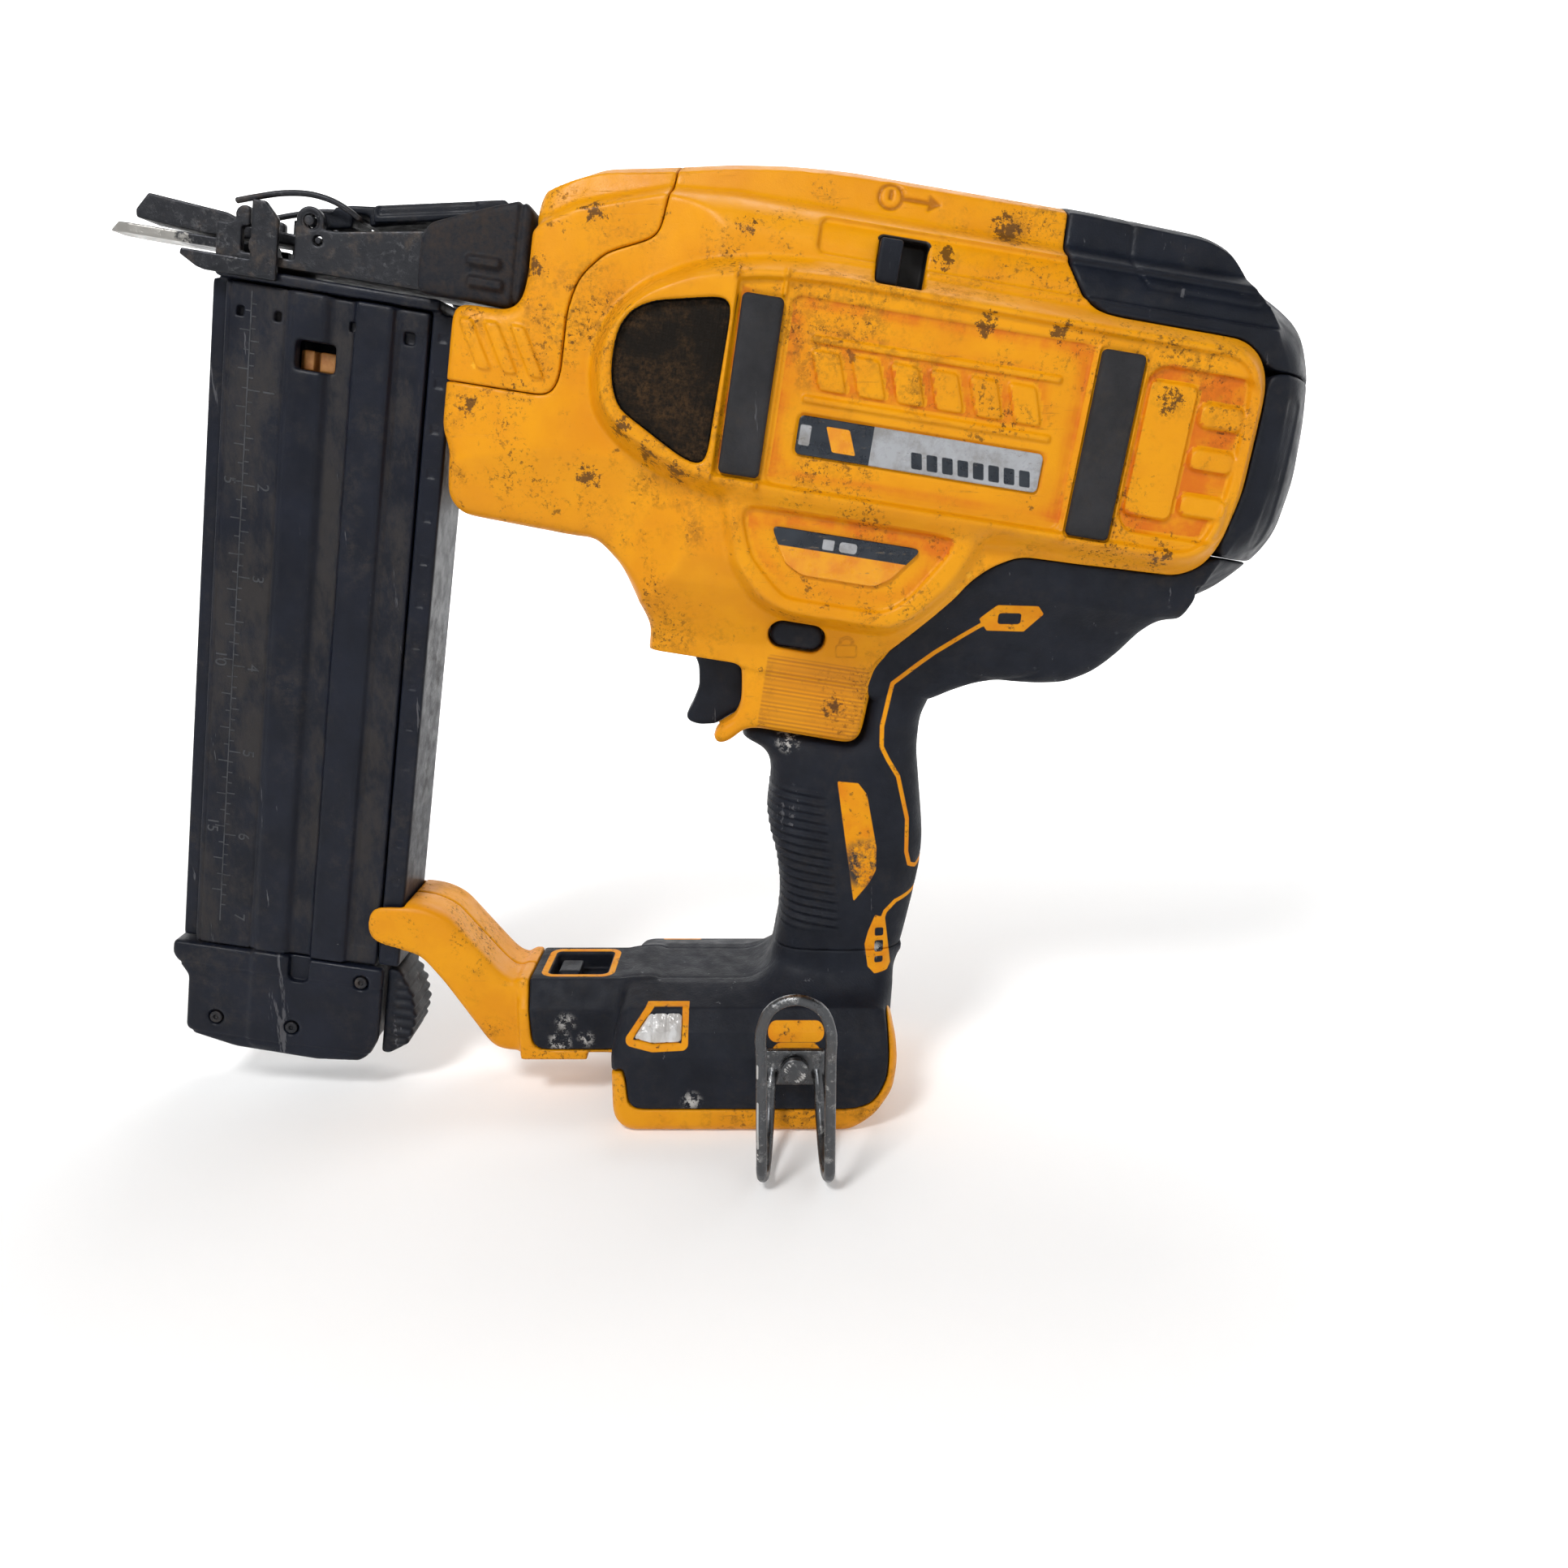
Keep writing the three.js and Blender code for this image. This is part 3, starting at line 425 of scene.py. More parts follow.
def yellow_casing():
    """Satin yellow nylon: blotched, specked with grime and scuffed, with painted shade in deeper orange in the
    recesses and near black on the inner walls of openings, and edges lightened by wear and a painted highlight.
    """
    p = Paint("yellow_casing")
    blotch = p.patches(0.38, 0.66, 38, 6)
    color = p.mix(YELLOW_COLOR, YELLOW_BLOTCH, blotch)
    # lighter on every edge: rubbed wear and a painted highlight
    color = p.mix(color, YELLOW_EDGE_WEAR_AND_HIGHLIGHT, p.times(p.edges(0.52, 0.6), 0.65))
    # deeper orange in the recesses, by how far they lie below their surroundings: painted shade
    low = p.between(p.painted("relief"), -0.6, -0.12, 1.0, 0.0)
    color = p.mix(color, ORANGE_STAIN_AND_SHADE, p.times(low, p.between(p.noise(160, 4), 0.3, 0.62, 0.2, 0.85)))
    patches = p.patches(0.46, 0.64, 52, 5, 0.65)
    specks = p.patches(0.53, 0.62, 820, 4, 0.75)
    dirt = p.times(patches, specks)
    chips = p.patches(0.635, 0.68, 120, 8, 0.72)
    dirt = p.larger(dirt, p.times(chips, 0.85))
    corner = p.times(p.hollows(), p.patches(0.36, 0.6, 240, 5))
    dirt = p.larger(dirt, p.times(corner, 0.8))
    smear = p.times(p.patches(0.48, 0.66, 26, 6, 0.7), p.patches(0.45, 0.62, 420, 6, 0.75))
    dirt = p.larger(dirt, p.times(smear, 0.55))
    scuff = p.patches(0.5, 0.62, 70, 6, 0.7)
    lines = p.patches(0.62, 0.68, 300, 4, 0.7, (0.12, 1, 3.4), 0.3)
    dirt = p.larger(dirt, p.times(p.times(lines, scuff), 0.5))
    color = p.mix(color, GRIME, p.times(dirt, 0.8))
    groove = p.times(p.between(p.painted("patch"), -0.4, 0.2, 1.0, 0.0), p.painted("lines"))
    color = p.mix(color, RIB_SHADE, p.times(groove, 0.75))
    ragged = p.plus(p.painted("scar"), p.between(p.noise(420, 6, 0.8), 0.3, 0.7, -3.2, 3.2))
    color = p.mix(color, SCUFF_BROWN, p.times(p.between(ragged, -0.4, 0.3, 1.0, 0.0), 0.85))
    color = p.mix(color, SIGN_SHADE, p.between(p.painted("sign"), -0.35, 0.35, 0.7, 0.0))
    # the inner walls of the vent and the stall window near black: painted shade
    color = p.mix(color, PAINTED_PIT_SHADE, p.between(p.painted("pit"), -0.3, 0.1, 1.0, 0.0))
    roughness = p.plus(p.between(p.noise(210, 5), 0.3, 0.7, 0.34, 0.5), p.times(dirt, 0.3))
    grain = p.plus(p.times(p.noise(2600, 2), 0.5), p.times(lines, -0.4))
    grain = p.plus(grain, p.times(groove, -1.2))
    grain = p.plus(grain, p.times(dirt, -0.25))
    return p.done(color, roughness, normal=p.bump(grain, 0.00016, 0.5), specular=0.22)


def black_nylon(name, color=BLACK_COLOR, dust=0.55, rough=(0.36, 0.56), grain=2200, depth=0.00012, trim=False,
                dusty=False):
    """Black moulded plastic or rubber with brown-grey dust that settles in patches and hollows."""
    p = Paint(name)
    cloud = p.times(p.patches(0.44, 0.7, 36, 6, 0.68), p.patches(0.4, 0.68, 330, 6, 0.75))
    cloud = p.larger(cloud, p.times(p.hollows(), p.patches(0.35, 0.65, 190, 5)))
    if dusty:
        thick = p.times(p.painted("dusty"), p.patches(0.4, 0.62, 95, 7, 0.75, (1, 1, 0.45)))
        cloud = p.larger(cloud, thick)
    tone = p.mix(color, tuple(c * 1.5 + 0.001 for c in color), p.patches(0.3, 0.7, 60, 5))
    tone = p.mix(tone, BLACK_DUST, p.times(cloud, dust))
    tone = p.mix(tone, RUBBED_BLACK, p.times(p.edges(0.54, 0.66), 0.45))
    flecks = p.times(p.patches(0.7, 0.74, 640, 5, 0.8), p.patches(0.5, 0.62, 44, 3))
    tone = p.mix(tone, PALE_FLECK, p.times(flecks, 0.7))
    scratch = p.patches(0.66, 0.7, 260, 5, 0.7, (1, 1, 0.1), 0.5)
    tone = p.mix(tone, SCRATCHED_BLACK, p.times(scratch, 0.5))
    if trim:
        chalk = p.times(p.painted("chalk"), p.patches(0.5, 0.55, 460, 6, 0.8))
        tone = p.mix(tone, OLD_PAINT, p.times(chalk, 0.85))
        zone = p.between(p.painted("yellow"), -0.12, 0.12, 1.0, 0.0)
        stains = p.between(p.noise(150, 5), 0.35, 0.75, 0.0, 0.5)
        gold = p.mix(p.mix(YELLOW_COLOR, ORANGE_STAIN_AND_SHADE, stains), GRIME, p.patches(0.56, 0.7, 420, 6, 0.7))
        worn = p.times(p.painted("worn"), p.patches(0.4, 0.56, 230, 6, 0.75))
        tone = p.mix(tone, p.mix(gold, WORN_PRINT, worn), zone)
    roughness = p.plus(p.between(p.noise(180, 5), 0.3, 0.7, *rough), p.times(cloud, 0.25))
    height = p.plus(p.noise(grain, 2), p.times(scratch, -0.6))
    return p.done(tone, roughness, normal=p.bump(height, depth, 0.6), specular=0.2)


def worn_steel(name, color, bright, rough=(0.28, 0.5), dust=0.3, metallic=0.92, tip=None):
    """Steel with rubbed bright edges, fine scratches and brown dust."""
    p = Paint(name)
    scratch = p.patches(0.5, 0.66, 420, 5, 0.75, (1, 0.14, 1), 0.2)
    patch = p.patches(0.42, 0.62, 90, 6, 0.7)
    tone = p.mix(color, bright, p.times(p.times(scratch, patch), 0.6))
    tone = p.mix(tone, bright, p.edges(0.54, 0.62))
    rust = p.times(p.patches(0.5, 0.7, 130, 6, 0.7), dust)
    rust = p.larger(rust, p.times(p.hollows(), dust * 1.6))
    tone = p.mix(tone, RUST, rust)
    if tip:
        bare = p.plus(p.painted("tip"), p.between(p.noise(260, 5, 0.7), 0.3, 0.7, -3.0, 3.0))
        tone = p.mix(tone, tip, p.between(bare, -1.0, 1.5, 1.0, 0.0))
    shine = p.calculate("SUBTRACT", metallic, p.times(rust, 0.7))
    roughness = p.plus(p.between(p.noise(300, 5), 0.3, 0.7, *rough), p.times(rust, 0.4))
    return p.done(tone, roughness, shine, p.bump(p.plus(scratch, p.noise(1800, 2)), 0.00008, 0.5))


def dusty_rubber():
    """The nose boot: black rubber under a lot of sawdust."""
    p = Paint("dusty_rubber")
    cloud = p.times(p.patches(0.36, 0.62, 60, 6, 0.7), p.patches(0.34, 0.62, 500, 6, 0.8))
    tone = p.mix(BLACK_COLOR, SAWDUST, p.times(cloud, 0.4))
    tone = p.mix(tone, CAKED_DUST, p.times(p.hollows(), 0.3))
    grain = p.bump(p.noise(1500, 4), 0.0002, 0.6)
    return p.done(tone, p.between(cloud, 0, 1, 0.5, 0.85), normal=grain, specular=0.2)


def vent_mesh():
    """Black filter mesh, clogged with brown dust in patches."""
    p = Paint("vent_mesh")
    cloud = p.times(p.patches(0.38, 0.62, 75, 6, 0.7), p.patches(0.38, 0.62, 700, 5, 0.8))
    tone = p.mix(MESH_BLACK, MESH_DUST, p.times(cloud, 0.7))
    return p.done(tone, 0.8, normal=p.bump(p.noise(2400, 3), 0.0002, 0.7), specular=0.1)


def printed_plate(name):
    """A printed label in two tones: painted 'tone' below zero is the dark part."""
    p = Paint(name)
    dark = p.mix(*PLATE_DARK, p.patches(0.35, 0.7, 130, 5))
    light = p.mix(*PLATE_LIGHT, p.patches(0.4, 0.7, 150, 6, 0.7))
    tone = p.mix(dark, light, p.between(p.painted("tone"), -0.12, 0.12))
    gold = p.mix(YELLOW_COLOR, ORANGE_STAIN_AND_SHADE, p.between(p.noise(180, 5), 0.4, 0.7, 0.0, 0.6))
    tone = p.mix(tone, gold, p.between(p.painted("gold"), -0.1, 0.1, 1.0, 0.0))
    scuffs = p.patches(0.6, 0.68, 520, 6, 0.75, (0.3, 1, 1), 0.4)
    tone = p.mix(tone, PLATE_SCUFF, p.times(scuffs, 0.7))
    return p.done(tone, p.between(p.noise(260, 4), 0.3, 0.7, 0.22, 0.4), normal=p.bump(scuffs, 0.00005, 0.4))


def clear_lens():
    p = Paint("clear_lens")
    p.shader.inputs["Transmission Weight"].default_value = 0.35
    p.shader.inputs["IOR"].default_value = 1.49
    ribs = p.patches(0.35, 0.65, 420, 3, 0.5, (1, 1, 0.25))
    tone = p.mix(*LENS_TONES, ribs)
    roughness = p.between(p.noise(300, 5), 0.3, 0.7, 0.12, 0.3)
    return p.done(tone, roughness, normal=p.bump(ribs, 0.0003, 0.5), coat=0.4)


def plain_grain(name, color, shade, roughness, metallic=0.0, scale=220):
    """Parts that are mostly hidden: mottled colour and a fine grain."""
    p = Paint(name)
    tone = p.mix(color, shade, p.patches(0.36, 0.66, scale, 6, 0.7))
    return p.done(tone, p.between(p.noise(scale * 2, 4), 0.3, 0.7, roughness, roughness + 0.18), metallic,
                  p.bump(p.noise(scale * 8, 2), 0.0001, 0.5))


def ruler_print():
    p = Paint("ruler_print")
    worn = p.patches(0.42, 0.62, 260, 6, 0.75)
    return p.done(p.mix(*PRINT_TONES, worn), 0.5, normal=p.bump(worn, 0.00004, 0.4))


YELLOW = yellow_casing()
BLACK = black_nylon("black_nylon")
RUBBER = black_nylon("black_rubber", (0.0045, 0.006, 0.0105), 0.5, (0.5, 0.68), 1300, 0.0002, True)
PAD_RUBBER = black_nylon("pad_rubber", (0.017, 0.017, 0.019), 0.9, (0.62, 0.8), 1100, 0.00028)
MAGAZINE = black_nylon("magazine_black", (0.004, 0.0055, 0.011), 0.6, (0.28, 0.46), 2600, 0.0001, False, True)
NOSE_STEEL = worn_steel("nose_steel", (0.013, 0.014, 0.018), (0.07, 0.07, 0.075), (0.34, 0.52), 0.3, 0.5)
BLADE_STEEL = worn_steel("blade_steel", (0.02, 0.021, 0.025), (0.13, 0.13, 0.13), (0.3, 0.5), 0.3, 0.7,
                         tip=(0.3, 0.29, 0.27))
HOOK_STEEL = worn_steel("hook_steel", (0.085, 0.088, 0.093), (0.5, 0.5, 0.49), (0.24, 0.4), 0.15, 0.95)
BOOT_RUBBER = dusty_rubber()
MESH = vent_mesh()
PLATE = printed_plate("printed_plate")
LENS = clear_lens()
TAN = plain_grain("tan_plastic", (0.38, 0.165, 0.04), (0.28, 0.1, 0.02), 0.42)
PRINT = ruler_print()
HIDDEN = {
    "copper_winding": plain_grain("copper_winding", (0.42, 0.15, 0.06), (0.25, 0.08, 0.03), 0.35, 0.85, 900),
    "circuit_board": plain_grain("circuit_board", (0.01, 0.09, 0.035), (0.02, 0.14, 0.05), 0.4),
    "bright_steel": HOOK_STEEL, "black_steel": NOSE_STEEL, "casing_black": BLACK, "casing_yellow": YELLOW,
    "overmould": RUBBER, "label": PLATE, "clear_lens": LENS, "tan_plastic": TAN,
}

# ------------------------------------------------------------------ outlines of the casings
# Drive frame, from the front cover over the top ridge to the rear, and back under the tool.
TOP = [
    (98.5, -5.2), (113.3, -5.2), (116.3, -3), (117.4, 3), (117.4, 20), (118, 25), (125, 33), (131, 36.5),
    (150, 40), (165, 43), (180, 45), (195, 46), (258, 46), (290, 45), (298, 42.5), (303, 39), (306, 35.5),
    (314, 32.5), (322, 28), (326, 23), (330, 13), (332, 0), (333, -15), (331.5, -30), (328, -37),
    (323, -43), (318, -48), (310, -53),
]
UNDERSIDE = [
    (303, -56), (297, -57.5), (293, -63), (290, -69), (285, -75), (278, -79.5), (270, -81), (258, -82),
    (252, -84), (246, -88), (243, -93), (242, -99), (241, -116), (160, -116), (160, -81), (157, -76),
    (150, -66), (142, -59.5), (137, -60), (105, -59), (101, -55), (101, -42), (98.5, -38),
]
REAR_EDGE = [
    (252, 60), (252.5, 30), (254.5, 25.5), (258, 20), (261, 17.2), (266, 16.2), (300, 16), (305, 13),
    (308, 7), (308.5, -20), (306, -35), (303, -41), (297, -44.5), (270, -45.6), (255, -46), (248, -50),
    (243, -55), (240, -60), (230, -73), (222, -83), (222, -88),
]
COVER_SEAM = [
    (152, 60), (152, 34), (150, 18), (146, 16), (137, 12), (131, 5), (129, -3), (129, -20), (127, -25),
]
YELLOW_BODY = [*REAR_EDGE, (160, -88), (90, -88), (90, -25), *COVER_SEAM[::-1]]
COVER = [*COVER_SEAM, (80, -25), (80, 60)]
PANEL = [
    (137, -17), (137.6, -10), (140, -3), (148, 6), (160, 12), (178, 16), (195, 17), (300, 15.8),
    (306, 11.8), (308.4, 4), (308.4, -22), (305.8, -35), (302, -41), (297, -43.5), (172, -43), (160, -40),
    (146, -34), (139, -27),
]
BOSS = [
    (172, -38), (180, -61), (188, -69.5), (197, -72.5), (225, -72.5), (233, -66), (240, -57), (248, -38),
]
BOSS_FLOOR = [(180, -44), (185, -57), (195, -66), (222, -66), (228, -61), (238, -45), (238, -44)]
VENT = [
    (144.4, -6), (147, -1.6), (152, 1.2), (171.4, 5.4), (170.2, -37), (163, -34.4), (146.4, -25.4),
    (144, -19), (143.6, -12),
]
BADGE = [(189, -48), (229, -48), (222, -57), (218, -59.5), (199, -59.5), (194, -57)]
LABEL = (192, 254.8, -29.4, -19.7)
PADS = {"front": (173.5, 184, -37, 6.7), "rear": (263.8, 275, -38.4, 7.6)}
PAD_FACE = 41.0
STALL_WINDOW = (205.2, 217.6, 13.9, 26.2)
BUMPER_TOP = [
    (252, 60), (252.5, 30), (254.5, 25.5), (258, 20), (261, 17.2), (266, 16.2), (300, 16), (305, 13),
    (307.5, 9.8), (345, 9.8), (345, 60),
]
BUMPER_BACK = [(307.6, 9.6), (345, 9.6), (345, -38), (304.6, -38), (306, -35), (308.5, -20), (308.5, 7)]
UNDER = [
    (304.3, -38.3), (345, -38.3), (345, -70), (300, -100), (262, -116), (226, -116), (222, -88),
    (222, -83), (230, -73), (240, -60), (243, -55), (248, -50), (255, -46), (270, -45.6), (297, -44.5),
    (303, -41),
]
# Foot frame.
TRIGGER_ZONE = [
    (22, 115), (20, 112.6), (-9, 117.6), (-12, 116.6), (-15, 113.4), (-20, 112.4), (-22, 115.4),
    (-18, 118.6), (-13.4, 121), (-12, 126), (-12, 139), (-15, 146), (-20, 158), (30, 165), (37, 145),
    (33, 138), (27, 134), (25, 130),
]
HANDLE = [
    (-15, 113.6), (-9, 117.8), (20, 112.4), (22.6, 114.8), (25, 130), (27, 134), (33, 138), (43, 146),
    (60, 140), (56, 134), (48, 131.5), (43, 128), (39.5, 120), (39, 110), (40, 100), (41, 90), (41.5, 83),
    (41, 75), (39, 65), (36, 52), (34, 45), (30.5, 37), (-5, 37), (-3, 50), (-2, 55), (-1, 60), (-1, 70),
    (-2, 78), (-4, 85), (-5, 92), (-4, 98), (-4, 107), (-6, 110),
]
FOOT_SIDE = [(-50.5, 4), (-47, 0), (20, 0), (27, 5), (32, 13), (33, 22), (32.5, 30), (30, 37), (28.5, 42),
             (-46.4, 42), (-50.5, 25)]
FOOT_SECTION = [
    (-36, -14), (36, -14), (36, 24), (33, 31), (28, 36.4), (16, 39.4), (-16, 39.4), (-28, 36.4),
    (-33, 31), (-36, 24),
]
NECK_SECTION = [(-18, 14.6), (18, 14.6), (18, 31), (13, 39.2), (-13, 39.2), (-18, 31)]
ARM = [
    (-124.6, 63), (-115, 63), (-107, 62), (-101, 59), (-88, 43), (-84, 38.5), (-76, 38.2), (-76, 14.8),
    (-85, 15), (-89.6, 16.2), (-91.8, 19.4), (-103.5, 37.6), (-110, 46), (-113, 47.2), (-119.5, 48.8),
    (-125, 51), (-126.2, 54.5),
]
BLACK_FOOT = [
    (-45.8, 7.7), (20, 7.7), (26, 9.6), (30, 17), (30.5, 25), (30, 36), (28, 60), (-90, 60), (-77.5, 41),
    (-76.6, 17.9), (-50, 17.9), (-46.5, 25.2), (-45.8, 25),
]
BAY = (-60, 19, 28.6, 17)
BATTERY_RAIL = (-46, 17, 3.5, 7.5)
TRIGGER_ROOM = [(-40, 112.6), (-3, 112.6), (-3, 141), (-14, 141.6), (-40, 146)]
LOCK_BUTTON = (3.5, 144.3)
# Drive frame: the side panel's fields, rails and ridges, the long groove, and the rooms in the casing.
ROLL = ([-15, -9, -5.5, -3, -1.2, 0, 1.5, 8, 15], [33.4, 32.8, 31.2, 28.8, 25.8, 22.2, 21.3, 20, 17.6])
EMBLEM_FIELD = (185.5, 262, -38, 8)
RIDGE_FIELD = (276.8, 305, -35, 6)
RAILS = {171.8: 14, 183.8: 14, 263.6: 8, 275.4: 8}  # where each rail stands, and how high up it ends
RIDGES = [  # a rectangle with its corner radius, then the height and the width of the slope
    (277.5, 290, -31, 2.5, 2, 1.5, 1.2), (291.5, 303, -7, -1, 2.2, 1.7, 1.8),
    (291.5, 303, -17.5, -12, 2.2, 1.7, 1.8), (291.5, 303, -29, -23.5, 2.2, 1.7, 1.8),
]
LONG_GROOVE = (190, 320, 19.5, 28.4)
RIBBED_PATCH = (193.5, 222.5, -107, -83.5)
MAGAZINE_ROOM = (50, 97.6, -240, -150)
COVER_ROOM = [(80, -3.8), (114, -3.8), (122, -1), (122, 9), (80, 9)]
DRIVER_WAY = (90, 165, -1.2, 5.8)
BUMPER_LINE = [(269, 46), (270, 30), (274, 24.8), (303, 24.3), (306, 27), (312, 33)]
BUMPER_DASH = (315, 319, -34, 4)


def recess(half, distance, depth, width=1.4):
    return half - depth * rise(distance, width)


def bulge(half, distance, face, width):
    """Brings the half width out to face inside an outline."""
    return half + np.maximum(face - half, 0) * rise(distance, width)


def quarter_round(inside, reach, width, slope):
    """A half width that rolls over within reach of the outline, then climbs straight."""
    roll = width * np.sin(np.clip(inside / reach, 0.01, 1) * math.pi / 2)
    return roll + slope * np.maximum(inside - reach, 0)


def bare_half(u, w):
    """Half the width before any panel: rolled over at the top, and narrower to the front and below."""
    crease = ramp(u, [112, 128, 150, 168], [13, 23, 30, 31.6])
    crown = ramp(w - crease, *ROLL)
    low = ramp(w, [-88, -82, -66, -58], [18, 20, 30, 33])
    front = ramp(u, [98, 112, 128, 150, 166], [23.5, 25.5, 27, 28.5, 33])
    tongue = ramp(w, [-64, -56, -46, -38], [20.5, 21.5, 24, 27])
    ahead = rise(u - 160, 26)
    return np.minimum.reduce([crown, low, front, tongue * ahead + 34 * (1 - ahead)])


def rounded_limit(g):
    """The half width that the rounded ridge and rear leave room for."""
    inside = -g.outline([*TOP, *UNDERSIDE])
    crest, back = rise(24 - g.w, 16), rise(302 - g.u, 16)
    top = 60 * (1 - crest) + quarter_round(inside, 6, 20, 5) * crest
    return g.soften(top * (1 - back) + quarter_round(inside, 18, 33, 3) * back, 1.0)


def body_half(g):
    """Half the body's width over the side view, with its panels, rims and recesses."""
    u, w = g.u, g.w
    half = g.soften(bare_half(u, w), 0.8)
    half = bulge(half, g.outline(BOSS, round_by=3.5) + 1.2, 36.8, 4.5)
    panel = g.outline(PANEL, round_by=3.5)
    half = bulge(half, panel + 1.4, 40.4, 6)
    half = recess(half, np.maximum(panel + 5.2, 171.5 - u), 1.7)
    half = recess(half, g.outline(BOSS_FLOOR), 1.6)
    half = recess(half, slab(u, w, *EMBLEM_FIELD, 3), 1.0, 1.2)
    half = recess(half, slab(u, w, *RIDGE_FIELD, 5), 1.6)
    for rail, top in RAILS.items():
        half = recess(half, slab(u, w, rail - 0.5, rail + 0.5, -40, top, 0.5), -1.3, 0.9)
    for *rectangle, height, edge in RIDGES:
        half = recess(half, slab(u, w, *rectangle), -height, edge)
    half = recess(half, emblem_shape(u, w), -1.1, 1.0)
    half = recess(half, slab(u, w, *grown(LABEL, 0.5), 1.6), 0.5, 0.8)
    half = recess(half, slab(u, w, *LONG_GROOVE, 2), 2.0, 1.3)
    half = recess(half, sign_shape(u, w), 0.8, 0.8)
    return np.minimum(half, rounded_limit(g)).astype(np.float32)


def emblem_shape(u, w):
    """Two bars with slanted blocks between them, on the side panel, and three bars on the front cover."""
    raised = np.minimum(slab(u, w, 192, 255.6, -2.2, -0.5, 0.6), slab(u, w, 192, 255.6, -16.7, -15, 0.6))
    for start in range(194, 250, 10):
        raised = np.minimum(raised, slab(u + 0.35 * w, w, start - 3, start + 4, -13.2, -4, 1.0))
    for start in (103, 110, 117):
        raised = np.minimum(raised, slab(u + 0.55 * w, w, start - 7.2, start - 3.4, -21, -9, 0.8))
    return raised


def sign_shape(u, w):
    """A ring and an arrow, pressed in above the stall release."""
    ring = np.abs(disc(u, w, 206.5, 37.4, 3.0)) - 0.4
    stem = np.minimum(slab(u, w, 209.3, 217, 36.9, 37.9, 0.3), slab(u, w, 206, 207, 36.6, 39.2, 0.2))
    head = polygon(u, w, [(216.4, 35.4), (219.6, 37.4), (216.4, 39.4)])
    return np.minimum(np.minimum(ring, stem), head)


def shell_field(g, k=4.5):
    """The whole drive body in one piece, before it is split into casings and rubber."""
    return spread(g, g.outline([*TOP, *UNDERSIDE]), body_half(g), k)


BODY_STEP = 0.55
BODY_U, BODY_Y, BODY_W = (96, 336), (0, 43), (-113, 49)
body = Grid(*BODY_U, *BODY_Y, *BODY_W, BODY_STEP)
body_field = shell_field(body)
centre = SEAM - body.y  # keeps a piece on its own side of the middle seam


def relief_paint():
    """How far the surface lies below its surroundings, for painted shade in deeper orange in the recesses."""
    grid = Grid(*BODY_U, 0, 1, *BODY_W, 1.0)
    half = body_half(grid)
    deep = np.minimum(grid.outline(PANEL) + 7, grid.outline(BOSS_FLOOR))
    sunk = (half - np.maximum(grid.soften(half, 4), half - 4)) * rise(deep, 3)

    def value(u, w, x, y, z):
        column = np.clip(((u - grid.low[0]) / grid.step).astype(int), 0, sunk.shape[0] - 1)
        row = np.clip(((w - grid.low[2]) / grid.step).astype(int), 0, sunk.shape[1] - 1)
        return np.where(np.abs(y) > 30, sunk[column, row], 0)

    return value


def patch_paint(u, w, x, y, z):
    """The fine ribbed patch beside the trigger."""
    patch = slab(u, w, *RIBBED_PATCH, 1.0)
    return np.where(np.abs(y) > 12, patch, 9)


def line_paint(u, w, x, y, z):
    return 0.5 + 0.5 * waves(w, 1.25)


def pit_paint(u, w, x, y, z):
    """The inner walls of the vent and the stall window, painted near black as shade."""
    window = np.where(np.abs(y) < 29.5, slab(u, w, *STALL_WINDOW, 1) - 0.9, 9)
    vent = np.where(np.abs(y) < 39.7, polygon(u, w, VENT) - 1.2, 9)
    return np.minimum(window, vent)


def sign_paint(u, w, x, y, z):
    lock = np.minimum(slab(x, z, 14.4, 20, 138.4, 142, 0.5), np.abs(disc(x, z, 17.2, 142.6, 1.7)) - 0.3)
    return np.where(np.abs(y) > 12, np.minimum(sign_shape(u, w), np.abs(lock) - 0.15), 9)


def scar_paint(u, w, x, y, z):
    """Deep brown scuffs, as distances from their middles."""
    scars = [
        (238, 34, 3.4), (222.5, 24, 1.8), (234, 9, 1.6), (110, 14, 2.4), (120, 6, 1.8), (139, -44, 1.8),
        (214, -96, 2.2), (150, 39, 1.4), (172, 22, 1), (290, -40, 1.6), (106, -30, 1.4), (148, -30, 1.6),
        (155, -35.5, 1.8), (163, -39, 1.6), (133, 21, 1.6), (284, -2, 1.8), (253, 9.5, 1.4),
        (113, 27, 1.6),
    ]
    near = np.minimum.reduce([disc(u, w, *scar) for scar in scars])
    return np.where(y < 0, near, near + 1.2)


YELLOW_PAINTS = {
    "relief": relief_paint(), "patch": patch_paint, "lines": line_paint, "pit": pit_paint, "scar": scar_paint,
    "sign": sign_paint,
}


def foot_block(g):
    """The foot and its neck in one piece, before it is split into yellow and black."""
    section = polygon(np.abs(g.y), side(g.b), FOOT_SECTION)
    block = smax(side(g.outline(FOOT_SIDE, False)), section, 4.5)
    neck = smax(polygon(g.y, side(g.b), NECK_SECTION), side(g.box(-80.5, -40, 0, 60)), 1.6)
    return smin(block, neck, 3.5)


foot = Grid(-129, 36, 0, 38, -2, 66, 0.55, False)
foot_field = foot_block(foot)
bay = smax(side(foot.box(BAY[0], BAY[1], -9, BAY[3])), np.abs(foot.y) - BAY[2], 1.0)


